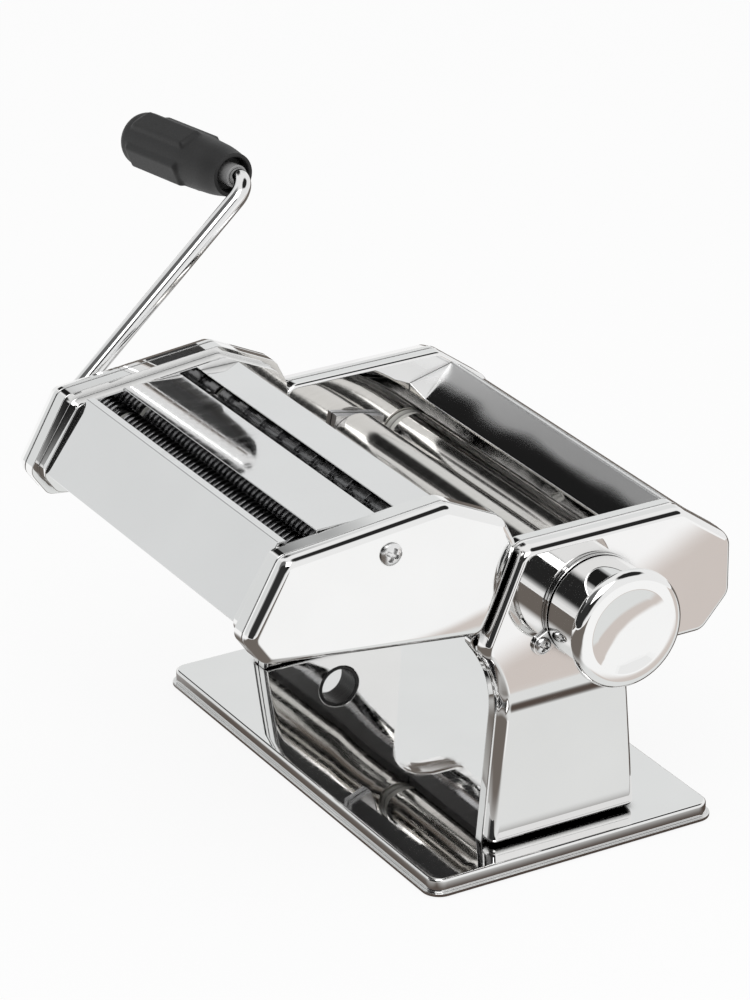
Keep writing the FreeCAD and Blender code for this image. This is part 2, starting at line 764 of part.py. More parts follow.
# Rear roller: fixed in bushes, with a socket for the crank in its left end

def crank_socket(body, end):
    pocket(body, ring(body, "YZ_Plane", "0", "0", SOCKET_RADIUS, f"-{end}"), "socket_depth", back=True)
    half = "(cross_pin + cross_slot_clear)"
    slot = box_points(f"-{half}", half, "-roller_radius", "roller_radius")
    pocket(body, outline(body, "YZ_Plane", slot, f"-{end}"), f"cross_pin_inset + {half}", back=True)


def two_journals(left, left_radius, half, radius, right, right_radius):
    return [(left, "0"), (left, left_radius), (f"-{half}", left_radius), (f"-{half}", radius),
            (half, radius), (half, right_radius), (right, right_radius), (right, "0")]


ROLLER_HALF = "(roller_length / 2)"
GEAR_NEAR = f"({FRAME_FLOOR} + gear_standoff)"
GEAR_FAR = f"({GEAR_NEAR} + gear_width)"

rear = turned("rear_shaft", two_journals(f"-{HEAD_FACE}", "rear_journal", ROLLER_HALF, "roller_radius",
                                         f"{FRAME_FLOOR} + bush_flange", "rear_journal"),
              "rear_axis_y", "rear_axis_z")
crank_socket(rear, HEAD_FACE)
keep("rear_roller", rear)
CLOSE_PITCH = f"(({SPACING} - gap_travel) / 2)"
keep("rear_roller_gear", gear("rear_gear", "roller_teeth", CLOSE_PITCH, f"-{GEAR_FAR}", "rear_journal",
                              "rear_axis_y", "rear_axis_z", "180 - roller_tilt"))

bushes = []
for side_name, side in SIDES:
    inside = "(rear_journal + running_gap)"
    outside = f"({inside} + bush_wall)"
    flange = f"({outside} + bush_flange)"
    profile = [(f"({ROLLER_HALF} + slide_gap)", inside), (f"({ROLLER_HALF} + slide_gap)", flange),
               ("frame_inner", flange), ("frame_inner", outside),
               (FRAME_FLOOR, outside), (FRAME_FLOOR, inside)]
    profile = [(f"{side} * {x}", r) for x, r in profile]
    bushes.append(turned(f"rear_bush_{side_name}", profile, "rear_axis_y", "rear_axis_z"))
group("rear_bushes", bushes)


# Front roller: carried by two sliding blocks that the knob moves towards the rear roller

front = turned("front_tube", [
    (f"-{GEAR_FAR}", "front_bore"), (f"-{GEAR_FAR}", "front_journal"), (f"-{ROLLER_HALF}", "front_journal"),
    (f"-{ROLLER_HALF}", "roller_radius"), (ROLLER_HALF, "roller_radius"), (ROLLER_HALF, "front_journal"),
    (f"{FRAME_FLOOR} + carrier_plate", "front_journal"), (f"{FRAME_FLOOR} + carrier_plate", "front_bore")],
    FRONT_Y, FRONT_Z)
keep("front_roller", front)
keep("front_roller_gear", gear("front_gear", "roller_teeth", CLOSE_PITCH, f"-{GEAR_FAR}", "front_journal",
                               FRONT_Y, FRONT_Z, "180 / roller_teeth - roller_tilt"))

SCRAPER_LOW = "-(roller_radius + scraper_gap + scraper_drop)"
CARRIER_IN = f"({ROLLER_HALF} + slide_gap)"
CARRIER_PLATE_END = "(frame_inner - slide_gap)"
CARRIER_BOSS_END = f"({FRAME_FLOOR} + slide_gap / 2)"
CARRIER_FLANGE_END = f"({CARRIER_BOSS_END} + carrier_flange)"


for side_name, side in SIDES:
    block = new_body(f"carrier_{side_name}")
    back = side < 0
    plate = carriage_box("-carrier_half", "carrier_half", SCRAPER_LOW, "carrier_half")
    boss = carriage_box("-carrier_boss", "carrier_boss", "-carrier_boss", "carrier_boss")
    flange = carriage_box("-carrier_half", "carrier_half", "-carrier_half", "carrier_half")
    pad(block, outline(block, "YZ_Plane", plate, f"{side} * {CARRIER_IN}"),
        f"{CARRIER_PLATE_END} - {CARRIER_IN}", back)
    pad(block, outline(block, "YZ_Plane", boss, f"{side} * {CARRIER_PLATE_END}"),
        f"{CARRIER_BOSS_END} - {CARRIER_PLATE_END}", back)
    depth = f"({CARRIER_BOSS_END} - {CARRIER_IN})"
    if side > 0:
        pad(block, outline(block, "YZ_Plane", flange, CARRIER_BOSS_END), "carrier_flange")
        depth = f"({FRAME_FLOOR} + carrier_plate + slide_gap - {CARRIER_IN})"
    drill(block, side, FRONT_Y, FRONT_Z, "front_journal + running_gap", CARRIER_IN, depth)
    keep(f"roller_carrier_{side_name}", block)

keep("front_scraper", spanning("front_bar", carriage_box("-scraper_half", "scraper_half", SCRAPER_LOW,
                                                         f"{SCRAPER_LOW} + scraper_drop"), CARRIER_IN))
CAM_BACK = f"({CARRIER_FLANGE_END} + cam_start_gap)"
pin_y, pin_z = carriage("gap_travel / 2 + cam_start", "0")
follower = tube(CARRIER_FLANGE_END, f"{CAM_BACK} + cam_depth - cam_clear", "0", "cam_pin")
keep("cam_follower", turned("follower", follower, pin_y, pin_z))


# Adjusting cam: a disc with a spiral groove that pushes the follower as the knob turns

def spiral(turned_by, offset):
    # A point of the groove, as the disc meets the follower after turning by an angle
    radius = size("cam_start") + size("gap_travel") * turned_by / size("knob_sweep") + offset
    angle = math.radians(-size("roller_tilt") - turned_by)
    return FreeCAD.Vector(0, radius * math.cos(angle), radius * math.sin(angle))


def spiral_wall(offset, steps=16):
    first = -size("cam_run_on")
    span = size("knob_sweep") + 2 * size("cam_run_on")
    stops = [first + span * i / (2 * steps) for i in range(2 * steps + 1)]
    places = [spiral(stop, offset) for stop in stops]
    return [Part.Arc(*places[2 * i:2 * i + 3]).toShape() for i in range(steps)]


half_groove = size("cam_pin + cam_clear")
outer_wall = spiral_wall(half_groove)
inner_wall = spiral_wall(-half_groove)
ends = [Part.makeLine(outer_wall[-1].lastVertex().Point, inner_wall[-1].lastVertex().Point),
        Part.makeLine(inner_wall[0].firstVertex().Point, outer_wall[0].firstVertex().Point)]
rim = Part.Wire(outer_wall + [ends[0]] + inner_wall[::-1] + [ends[1]])
groove = Part.Face(rim).extrude(FreeCAD.Vector(size("cam_depth"), 0, 0))
disc = Part.makeCylinder(size("cam_radius"), size("cam_width"), FreeCAD.Vector(), FreeCAD.Vector(1, 0, 0))
cam = doc.addObject("Part::Feature", "cam_disc")
cam.Shape = disc.cut(groove)
place(cam, CAM_BACK, KNOB_Y, KNOB_Z)
keep("adjust_cam", cam)

SQUARE = "(stub_radius / sqrt(2))"
STUB_END = f"({KNOB_WEB_BACK} + knob_web - knob_wall)"
STUB_STEP = f"({COLLAR_END} + knob_gap)"
stub = turned("stub", tube(f"{CAM_BACK} + cam_width", STUB_STEP, "0", "stub_radius"), KNOB_Y, KNOB_Z)
pad(stub, outline(stub, "YZ_Plane", box_points(f"-{SQUARE}", SQUARE, f"-{SQUARE}", SQUARE), STUB_STEP),
    f"{STUB_END} - knob_gap - {STUB_STEP}")
keep("knob_shaft", stub)


# Knob collar: a flanged cup inside the knob, with a slot that stops the knob at both ends of its turn

COLLAR_PLATE = f"({COLLAR_END} - 2 * collar_wall)"
COLLAR_HUB = "(knob_skirt - knob_wall - knob_gap)"
cup_bore = f"({COLLAR_HUB} - collar_wall)"
stub_bore = "(stub_radius + running_gap)"
collar = turned("collar", [
    (HEAD_FACE, cup_bore), (HEAD_FACE, "collar_radius"), (f"{HEAD_FACE} + collar_wall", "collar_radius"),
    (f"{HEAD_FACE} + collar_wall", COLLAR_HUB), (COLLAR_END, COLLAR_HUB), (COLLAR_END, stub_bore),
    (COLLAR_PLATE, stub_bore), (COLLAR_PLATE, cup_bore)], KNOB_Y, KNOB_Z, "collar_turn")
half = "(stop_pin + slide_gap)"
slot_in = f"{COLLAR_PLATE} - collar_wall"
slot_out = f"{COLLAR_END} + collar_wall"
slot = outline(collar, "XZ_Plane", [
    (slot_in, f"stop_orbit - {half}"), (slot_out, f"stop_orbit - {half}"),
    (slot_out, f"stop_orbit + {half}"), (slot_in, f"stop_orbit + {half}")])
before = collar.Shape.Volume
arc_slot = collar.newObject("PartDesign::Groove", "collar_slot")
arc_slot.Profile = slot
arc_slot.ReferenceAxis = (slot, ["H_Axis"])
bind(arc_slot, "Angle", f"(knob_sweep + knob_slack) * 1 deg + 2 * asin({half} / stop_orbit)")
arc_slot.Midplane = True
check_cut(collar, before)
lug = box_points("-collar_lug_drop", "-collar_radius + collar_wall / 2", "-collar_lug", "collar_lug")
pad(collar, ring(collar, "YZ_Plane", "0", "-collar_lug_drop", "collar_lug", HEAD_FACE), "collar_wall")
pad(collar, outline(collar, "YZ_Plane", lug, HEAD_FACE), "collar_wall")
drill(collar, 1, "0", "-collar_lug_drop", SCREW_HOLE, HEAD_FACE, "collar_wall")
keep("knob_collar", collar)


def screw_profile(under_head, tip, head):
    # A low head with a bevelled rim, seen from the side
    top = f"({under_head} + screw_head_height)"
    return [(tip, "0"), (tip, "screw_radius"), (under_head, "screw_radius"), (under_head, head),
            (f"{top} - screw_head_height / 2", head), (top, f"{head} - screw_head_height / 2"), (top, "0")]


bolt = screw_profile(f"{HEAD_FACE} + collar_wall", f"{HEAD_FACE} - 2 * cover_sheet", "screw_head")
keep("collar_screw", turned("collar_bolt", bolt, LUG_Y, LUG_Z))

knob = turned("knob", [
    (KNOB_BACK, "knob_skirt - knob_wall"), (KNOB_BACK, "knob_skirt"),
    (f"{KNOB_FRONT} - knob_rim_width", "knob_skirt"), (f"{KNOB_FRONT} - knob_rim_width", "knob_rim"),
    (KNOB_FRONT, "knob_rim"), (KNOB_FRONT, "0"),
    (KNOB_WEB_BACK, "0"), (KNOB_WEB_BACK, "knob_skirt - knob_wall")], KNOB_Y, KNOB_Z)
dish = knob.newObject("PartDesign::SubtractiveSphere", "knob_dish")
DISH = "((knob_dish ^ 2 + knob_dish_depth ^ 2) / (2 * knob_dish_depth))"
before = knob.Shape.Volume
bind(dish, "Radius", DISH)
place(dish, f"{KNOB_FRONT} - knob_dish_depth + {DISH}")
check_cut(knob, before)
rim_at = in_end_plane(KNOB_FRONT)
round_edges(knob, "knob_round", lambda e: rim_at(e) and near(e.BoundBox.YLength, size("2 * knob_rim")))
HOLE = f"({SQUARE} + crank_clear)"
pocket(knob, outline(knob, "YZ_Plane", box_points(f"-{HOLE}", HOLE, f"-{HOLE}", HOLE), KNOB_WEB_BACK),
       "knob_web - knob_wall", back=True)
keep("adjust_knob", knob)
stop = tube(f"{COLLAR_PLATE} - knob_pull - cover_lip", KNOB_WEB_BACK, "0", "stop_pin")
stop_angle = "(90 - knob_sweep / 2 + collar_turn)"
keep("stop_pin", turned("stop", stop, f"{KNOB_Y} + stop_orbit * cos({stop_angle})",
                        f"{KNOB_Z} + stop_orbit * sin({stop_angle})"))


# Slide rails: strips inside the side frames that the cutter unit hooks over

RAIL_IN = "(frame_inner - hook_depth)"
for side_name, side in SIDES:
    strip = [on_rail("-hook_gap", "hook_gap"), on_rail("-hook_gap - 2 * hook_sheet", "hook_gap"),
             on_rail("-hook_gap - 2 * hook_sheet", "hook_length"), on_rail("-hook_gap", "hook_length")]
    rail = prism(f"rail_{side_name}", strip, f"{side} * {RAIL_IN}", "hook_depth", side < 0)
    keep(f"slide_rail_{side_name}", rail)


# Cutter unit: two dished end plates with caps, and the sheets between them

CUTTER = [("brow_front", "brow_height"), ("crest_back", "crest_height"), ("nape_back", "nape_height"),
          (TAIL_Y, "tail_height"), (SEAT_Y, "seat_height"), ("chin_front", "chin_height"),
          ("nose_front", "nose_height")]
CUTTER_ROUNDS = ["cutter_round"] * 7
INWARD = [(1, -1), (-0.3, -1), (-1, -0.5), (-1, 0), (-1, 1), (0.5, 1), (1, 0.2)]
NECK = [(f"{y} + {way_y} * neck_step", f"{z} + {way_z} * neck_step")
        for (y, z), (way_y, way_z) in zip(CUTTER, INWARD)]
FINE_DRIVE = "drive_axis_y"
FINE_IDLE = "(drive_axis_y + cutter_spacing)"
WIDE_DRIVE = "(drive_axis_y + pair_pitch)"
WIDE_IDLE = "(drive_axis_y + pair_pitch + cutter_spacing)"
PAIRS = [("fine", FINE_DRIVE, FINE_IDLE, "fine_strip"), ("wide", WIDE_DRIVE, WIDE_IDLE, "wide_strip")]
CHIN_SLOPE = f"((seat_height - chin_height) / ({SEAT_Y} - chin_front))"
CHIN_EDGE = f"(chin_height + {CHIN_SLOPE} * chin_tie_in)"
SOCKET_UNDER = "(drive_axis_z - socket_journal - running_gap - bush_flange)"
CUTTER_TIES = [("chin_front + chin_tie_in", f"({CHIN_EDGE} + {SOCKET_UNDER}) / 2"),
               (f"{SEAT_Y} - seat_tie_in", "seat_height + seat_tie_up")]
BROW_SLOPE = "((crest_height - brow_height) / (crest_back - brow_front))"
BRACKET_TOP = f"(brow_height + {BROW_SLOPE} * (cap_screw_y - brow_front))"


def shaft_hole(side, axis):
    # Sockets for the crank need a wider journal, and stand on the left
    wide = side < 0 and axis in (FINE_DRIVE, WIDE_DRIVE)
    return "socket_journal" if wide else "cutter_journal"


for side_name, side in SIDES:
    back = side < 0
    plate = new_body(f"cutter_plate_{side_name}")
    rim = outline(plate, "YZ_Plane", CUTTER, f"{side} * cutter_rim", CUTTER_ROUNDS)
    pad(plate, rim, "cutter_rim_depth", back)
    neck = outline(plate, "YZ_Plane", NECK, f"{side} * cutter_rim", CUTTER_ROUNDS)
    pad(plate, neck, "cutter_rim - cutter_floor", not back)
    hollow(plate, "frame_sheet", in_end_plane(f"{side} * (cutter_rim + cutter_rim_depth)"))
    for kind, drive, idle, strip in PAIRS:
        for axis in (drive, idle):
            hole = f"{shaft_hole(side, axis)} + running_gap + bush_flange"
            drill(plate, side, axis, "drive_axis_z", hole, "cutter_floor", "frame_sheet")
    for across, up in CUTTER_TIES:
        drill(plate, side, across, up, "tie_end + screw_clear", "cutter_floor", "frame_sheet")
    keep(f"cutter_end_plate_{side_name}", plate)

    cap = new_body(f"cap_{side_name}")
    profile = outline(cap, "YZ_Plane", CUTTER, f"{side} * {CAP_START}", CUTTER_ROUNDS)
    pad(cap, profile, "cover_lip + cap_rise", back)
    bevel_edges(cap, "cap_rise", "cap_rise * tan(cap_angle)", in_end_plane(f"{side} * {CAP_FACE}"))
    hollow(cap, "cover_sheet", in_end_plane(f"{side} * {CAP_START}"))
    drill(cap, side, "cap_screw_y", "cap_screw_z", SCREW_HOLE, CAP_RIM, "cap_rise")
    if back:
        for axis in (FINE_DRIVE, WIDE_DRIVE):
            drill(cap, side, axis, "drive_axis_z", "socket_journal + cover_sheet", CAP_RIM, "cap_rise")
    keep(f"cutter_cap_{side_name}", cap)

BRACKET_IN = "(cutter_rim + cutter_rim_depth - 2 * frame_sheet)"
brackets = []
spacers = []
cap_screws = []
for side_name, side in SIDES:
    half = "(cap_screw_head + frame_sheet)"
    tab = new_body(f"cap_tab_{side_name}")
    points = box_points("cap_screw_z - screw_radius - frame_sheet", f"{BRACKET_TOP} - 2 * frame_sheet",
                        f"cap_screw_y - {half}", f"cap_screw_y + {half}")
    pad(tab, outline(tab, "YZ_Plane", points, f"{side} * {BRACKET_IN}"), "frame_sheet", side < 0)
    drill(tab, side, "cap_screw_y", "cap_screw_z", SCREW_HOLE, BRACKET_IN, "frame_sheet")
    brackets.append(tab)
    spacer = tube(f"{side} * ({BRACKET_IN} + frame_sheet)", f"{side} * ({CAP_FACE} - cover_sheet)",
                  SCREW_HOLE, "screw_radius + frame_sheet")
    spacers.append(turned(f"cap_spacer_{side_name}", spacer, "cap_screw_y", "cap_screw_z"))
    bolt = screw_profile(CAP_FACE, BRACKET_IN, "cap_screw_head")
    bolt = [(f"{side} * ({x})", r) for x, r in bolt]
    cap_screws.append(turned(f"cap_bolt_{side_name}", bolt, "cap_screw_y", "cap_screw_z"))
group("cap_brackets", brackets)
group("cap_spacers", spacers)
group("cap_screws", cap_screws)

for side_name, side in SIDES:
    hook = new_body(f"hook_{side_name}")
    back = side < 0
    hook_back = "(-2 * hook_gap - 3 * hook_sheet)"
    arm = [on_rail("hook_length / 2", "2 * hook_gap"), on_rail(hook_back, "2 * hook_gap"),
           on_rail(hook_back, "hook_length"), on_rail("hook_length / 2", "hook_length")]
    lip = [on_rail(f"{hook_back} + hook_sheet", "2 * hook_gap"), on_rail(hook_back, "2 * hook_gap"),
           on_rail(hook_back, "hook_length"), on_rail(f"{hook_back} + hook_sheet", "hook_length")]
    pad(hook, outline(hook, "YZ_Plane", arm, f"{side} * (cutter_floor - hook_sheet)"), "hook_sheet", back)
    pad(hook, outline(hook, "YZ_Plane", lip, f"{side} * (cutter_floor - hook_sheet)"),
        "frame_inner - hook_gap - cutter_floor + hook_sheet", back)
    keep(f"cutter_hook_{side_name}", hook)

PANEL_LEAN = "atan((panel_head_y - panel_foot_y) / (panel_head_z - panel_foot_z))"
panel_in_y = f"deck_sheet * cos({PANEL_LEAN})"
panel_in_z = f"deck_sheet * sin({PANEL_LEAN})"
keep("front_panel", spanning("front_sheet", [
    ("panel_foot_y", "panel_foot_z"), ("panel_head_y", "panel_head_z"),
    ("panel_head_y + panel_lip", "panel_head_z"), ("panel_head_y + panel_lip", "panel_head_z - deck_sheet"),
    (f"panel_head_y + {panel_in_y}", "panel_head_z - deck_sheet"),
    (f"panel_foot_y + {panel_in_y}", f"panel_foot_z - {panel_in_z}")], "cutter_floor"))


DECK_TOP = "(brow_height + deck_rise)"


def deck(front, back):
    # A flat sheet with a skirt folded down at each edge
    low = f"{DECK_TOP} - deck_skirt"
    under = f"{DECK_TOP} - deck_sheet"
    return [(front, low), (front, DECK_TOP), (back, DECK_TOP), (back, low),
            (f"{back} - deck_sheet", low), (f"{back} - deck_sheet", under),
            (f"{front} + deck_sheet", under), (f"{front} + deck_sheet", low)]


middle_points = deck("front_slot_back", "rear_slot_front")
rear_points = deck("rear_slot_back", "crest_back + cutter_round")
keep("middle_deck", spanning("middle_sheet", middle_points, "cutter_floor"))
keep("rear_deck", spanning("rear_sheet", rear_points, "cutter_floor"))

cutter_rods = []
for i, (across, up) in enumerate(CUTTER_TIES):
    rod_end = f"({CUTTER_INNER} + nut_height)"
    profile = two_journals(f"-{rod_end}", "tie_end", "cutter_floor", "tie_radius", rod_end, "tie_end")
    cutter_rods.append(turned(f"cutter_rod_{i}", profile, across, up))
group("cutter_tie_rods", cutter_rods)


# Cutter rollers: interlocking rings cut into two pairs of shafts

CUTTER_HALF = "(cutter_floor - cutter_side_gap)"
CUTTER_GEAR = f"({CUTTER_INNER} + bush_flange + gear_standoff)"
CUTTER_END = f"({CUTTER_GEAR} + gear_width)"


def ring_count(strip):
    return f"floor({CUTTER_HALF} / {strip})"


def cut_rings(body, strip, first):
    # One ring groove, repeated along the shaft at twice the width of a strip
    start = f"(({first} - {ring_count(strip)}) * {strip} - strip_clear)"
    stop = f"(({first} + 1 - {ring_count(strip)}) * {strip} + strip_clear)"
    ring_cut = outline(body, "XY_Plane", [(start, "cutter_root"), (stop, "cutter_root"),
                                          (stop, "cutter_radius + strip_clear"),
                                          (start, "cutter_radius + strip_clear")])
    before = body.Shape.Volume
    groove = body.newObject("PartDesign::Groove", f"{body.Name}_ring")
    groove.Profile = ring_cut
    groove.ReferenceAxis = (ring_cut, ["H_Axis"])
    groove.Angle = 360
    check_cut(body, before)
    pattern = body.newObject("PartDesign::LinearPattern", f"{body.Name}_rings")
    pattern.Originals = [groove]
    pattern.Direction = (ring_cut, ["H_Axis"])
    bind(pattern, "Length", f"({ring_count(strip)} - 1) * 2 * {strip}")
    bind(pattern, "Occurrences", ring_count(strip))
    body.Tip = pattern
    doc.recompute()


for kind, drive, idle, strip in PAIRS:
    for role, axis, first, turn in (("drive", drive, 1, "crank_angle"), ("idle", idle, 0, "0")):
        left_radius = shaft_hole(-1, axis)
        left = f"-({CAP_FACE})" if role == "drive" else f"-({CUTTER_INNER} + bush_flange)"
        body_half = f"({ring_count(strip)} * {strip})"
        profile = two_journals(left, left_radius, body_half, "cutter_radius", CUTTER_END, "cutter_journal")
        shaft = turned(f"{kind}_{role}_shaft", profile, axis, "drive_axis_z", turn)
        cut_rings(shaft, strip, first)
        if role == "drive":
            crank_socket(shaft, CAP_FACE)
        keep(f"{kind}_{role}_cutter", shaft)
        teeth_turn = "0" if role == "drive" else "180 + 180 / cutter_teeth"
        wheel = gear(f"{kind}_{role}_wheel", "cutter_teeth", "(cutter_spacing / 2)", CUTTER_GEAR,
                     "cutter_journal", axis, "drive_axis_z", teeth_turn)
        keep(f"{kind}_{role}_gear", wheel)

cutter_bushes = []
for side_name, side in SIDES:
    for kind, drive, idle, strip in PAIRS:
        for role, axis in (("drive", drive), ("idle", idle)):
            inside = f"({shaft_hole(side, axis)} + running_gap)"
            outside = f"({inside} + bush_flange - screw_clear)"
            bush_end = f"{side} * ({CUTTER_INNER} + bush_flange)"
            profile = tube(f"{side} * cutter_floor", bush_end, inside, outside)
            cutter_bushes.append(turned(f"{kind}_{role}_bush_{side_name}", profile, axis, "drive_axis_z"))
group("cutter_bushes", cutter_bushes)

for kind, drive, idle, strip in PAIRS:
    bars = []
    for role, axis, way in (("drive", drive, -1), ("idle", idle, 1)):
        top = "(drive_axis_z - cutter_radius - comb_gap)"
        points = box_points(f"{top} - 2 * hook_sheet", top, axis, f"{axis} + {way} * scraper_half")
        bars.append(spanning(f"{kind}_{role}_comb", points, "cutter_floor"))
    group(f"{kind}_combs", bars)


# Crank: one bent rod with a cross pin, a ferrule and a turning grip, all in one leaning plane

SOCKET_END = f"({CAP_FACE} - socket_depth + crank_clear)"
ROD_END_X = "(crank_plane + (grip_start + grip_length - grip_wall - crank_clear) * cos(grip_tilt))"
ROD_END_Y = "(crank_reach - (grip_start + grip_length - grip_wall - crank_clear) * sin(grip_tilt))"
crank = new_body("crank")
path = new_sketch(crank, "XY_Plane")
bend = size("crank_bend")
plane = size("crank_plane")
reach = size("crank_reach")
lean = math.radians(size("grip_tilt"))
lower = FreeCAD.Vector(-plane, 0, 0)
upper = FreeCAD.Vector(-plane, reach, 0)
out = FreeCAD.Vector(-math.cos(lean), -math.sin(lean), 0)
up_way = FreeCAD.Vector(0, 1, 0)
back_way = FreeCAD.Vector(1, 0, 0)


def bend_points(corner, first, second):
    # Where a bend of the rod leaves its two straight runs, and its middle
    half = first.getAngle(second) / 2
    cut = bend / math.tan(half)
    middle = corner + (first + second).normalize() * (bend / math.sin(half) - bend)
    return corner + first * cut, middle, corner + second * cut


low_bend = bend_points(lower, back_way, up_way)
high_bend = bend_points(upper, up_way * -1, out)
start = FreeCAD.Vector(-size(SOCKET_END), 0, 0)
tip = FreeCAD.Vector(-size(ROD_END_X), size(ROD_END_Y), 0)
path.addGeometry([Part.LineSegment(start, low_bend[0]), Part.Arc(*low_bend),
                  Part.LineSegment(low_bend[2], high_bend[0]), Part.Arc(*high_bend),
                  Part.LineSegment(high_bend[2], tip)], False)
profile = ring(crank, "YZ_Plane", "0", "0", "crank_radius", f"-{SOCKET_END}")
rod = crank.newObject("PartDesign::AdditivePipe", "crank_rod_pipe")
rod.Profile = profile
rod.Spine = path
place(crank, "0", "drive_axis_y", "drive_axis_z", "crank_angle")
doc.recompute()
keep("crank_rod", crank)


def grip_place(body, distance, phase="0"):
    # Turns a piece from X onto the spindle, and moves it along the spindle from the upper bend
    own = FreeCAD.Rotation(FreeCAD.Vector(1, 0, 0), size(phase))
    lean = FreeCAD.Rotation(FreeCAD.Vector(0, 0, 1), 180 + size("grip_tilt"))
    spin = FreeCAD.Rotation(FreeCAD.Vector(1, 0, 0), size("crank_angle"))
    body.Placement = FreeCAD.Placement(FreeCAD.Vector(), spin.multiply(lean).multiply(own))
    rise = f"(crank_reach - ({distance}) * sin(grip_tilt))"
    bind(body, "Placement.Base.x", f"-(crank_plane + ({distance}) * cos(grip_tilt))")
    bind(body, "Placement.Base.y", f"drive_axis_y + {rise} * cos(crank_angle)")
    bind(body, "Placement.Base.z", f"drive_axis_z + {rise} * sin(crank_angle)")


PIN_X = f"(cross_pin_inset - {CAP_FACE})"
pin_hole = ring(crank, "XZ_Plane", PIN_X, "0", "cross_pin + running_gap")
pocket(crank, pin_hole, "4 * crank_radius", both=True)
pin = new_body("cross_pin")
pad(pin, ring(pin, "XZ_Plane", PIN_X, "0", "cross_pin"), "2 * socket_journal", both=True)
place(pin, "0", "drive_axis_y", "drive_axis_z", "crank_angle")
keep("crank_pin", pin)

ferrule = turned("ferrule", tube("0", "ferrule_length", "crank_radius", "ferrule_radius"))
grip_place(ferrule, "grip_start + grip_mouth_depth - grip_gap - ferrule_length")
keep("grip_ferrule", ferrule)

grip_bore = "(crank_radius + crank_clear)"
bore_end = "grip_length - grip_wall"
grip_profile = [("grip_mouth_depth", grip_bore), ("grip_mouth_depth", "grip_mouth"), ("0", "grip_mouth"),
                ("0", "grip_near"), ("grip_neck", "grip_neck_radius"), ("grip_swell", "grip_radius"),
                ("grip_length", "grip_radius"), ("grip_length", "0"), (bore_end, "0"), (bore_end, grip_bore)]
grip = turned("grip", grip_profile)
round_edges(grip, "grip_wall", in_end_plane("grip_length"))
flat = [("grip_pad_start", "-grip_pad_width / 2"), ("grip_pad_end", "-grip_pad_width / 2"),
        ("grip_pad_end", "grip_pad_width / 2"), ("grip_pad_start", "grip_pad_width / 2")]
grip_pad = pad(grip, outline(grip, "XY_Plane", flat, "grip_radius - 2 * grip_pad_rise"), "3 * grip_pad_rise")
pads = grip.newObject("PartDesign::PolarPattern", "grip_pad_pattern")
pads.Originals = [grip_pad]
pads.Axis = ([f for f in grip.Origin.OriginFeatures if f.Role == "X_Axis"][0], [""])
pads.Angle = 360
bind(pads, "Occurrences", "grip_pads")
grip.Tip = pads
doc.recompute()
grip_place(grip, "grip_start", "grip_pad_turn")
keep("crank_grip", grip)


# Every sub-part must have come out whole before anything is written

doc.recompute()
for thing in doc.Objects:
    if "Invalid" in thing.State or "Error" in thing.State:
        raise RuntimeError(f"{thing.Label} did not build")
for node, thing in nodes.items():
    if thing.Shape.isNull() or not thing.Shape.isValid():
        raise RuntimeError(f"{node} has no valid shape")
os.makedirs("parts", exist_ok=True)
for node, thing in nodes.items():
    thing.Shape.exportStep(f"parts/{node}.step")
print(f"{len(nodes)} sub-parts written")
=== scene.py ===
import json
import math

import bmesh
import bpy
import numpy as np
from mathutils import Matrix, Vector


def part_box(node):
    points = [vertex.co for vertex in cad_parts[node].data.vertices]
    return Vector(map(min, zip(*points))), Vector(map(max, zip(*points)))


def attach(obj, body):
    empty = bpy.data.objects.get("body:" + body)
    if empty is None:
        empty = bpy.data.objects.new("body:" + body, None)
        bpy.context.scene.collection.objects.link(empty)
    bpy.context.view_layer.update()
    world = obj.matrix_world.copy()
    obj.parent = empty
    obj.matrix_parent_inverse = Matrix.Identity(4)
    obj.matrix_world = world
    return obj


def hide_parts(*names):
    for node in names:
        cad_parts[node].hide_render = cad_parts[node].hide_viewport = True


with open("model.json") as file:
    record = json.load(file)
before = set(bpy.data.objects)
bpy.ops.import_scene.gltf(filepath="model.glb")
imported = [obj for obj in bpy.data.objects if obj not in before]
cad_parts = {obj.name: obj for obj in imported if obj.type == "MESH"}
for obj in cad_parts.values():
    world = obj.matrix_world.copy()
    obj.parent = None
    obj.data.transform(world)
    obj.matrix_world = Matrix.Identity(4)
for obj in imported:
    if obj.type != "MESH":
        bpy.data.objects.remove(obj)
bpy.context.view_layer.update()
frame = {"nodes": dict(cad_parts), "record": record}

nodes = frame["nodes"]
record = frame["record"]
bodyOf = {node: body for body, members in record["behaviour"]["bodies"].items() for node in members}
slotOf = {part["node"]: part["material_slot"] for part in record["subparts"]}
made = set()  # the nodes that have their piece
mm = 0.001
weld = 0.0005 * mm


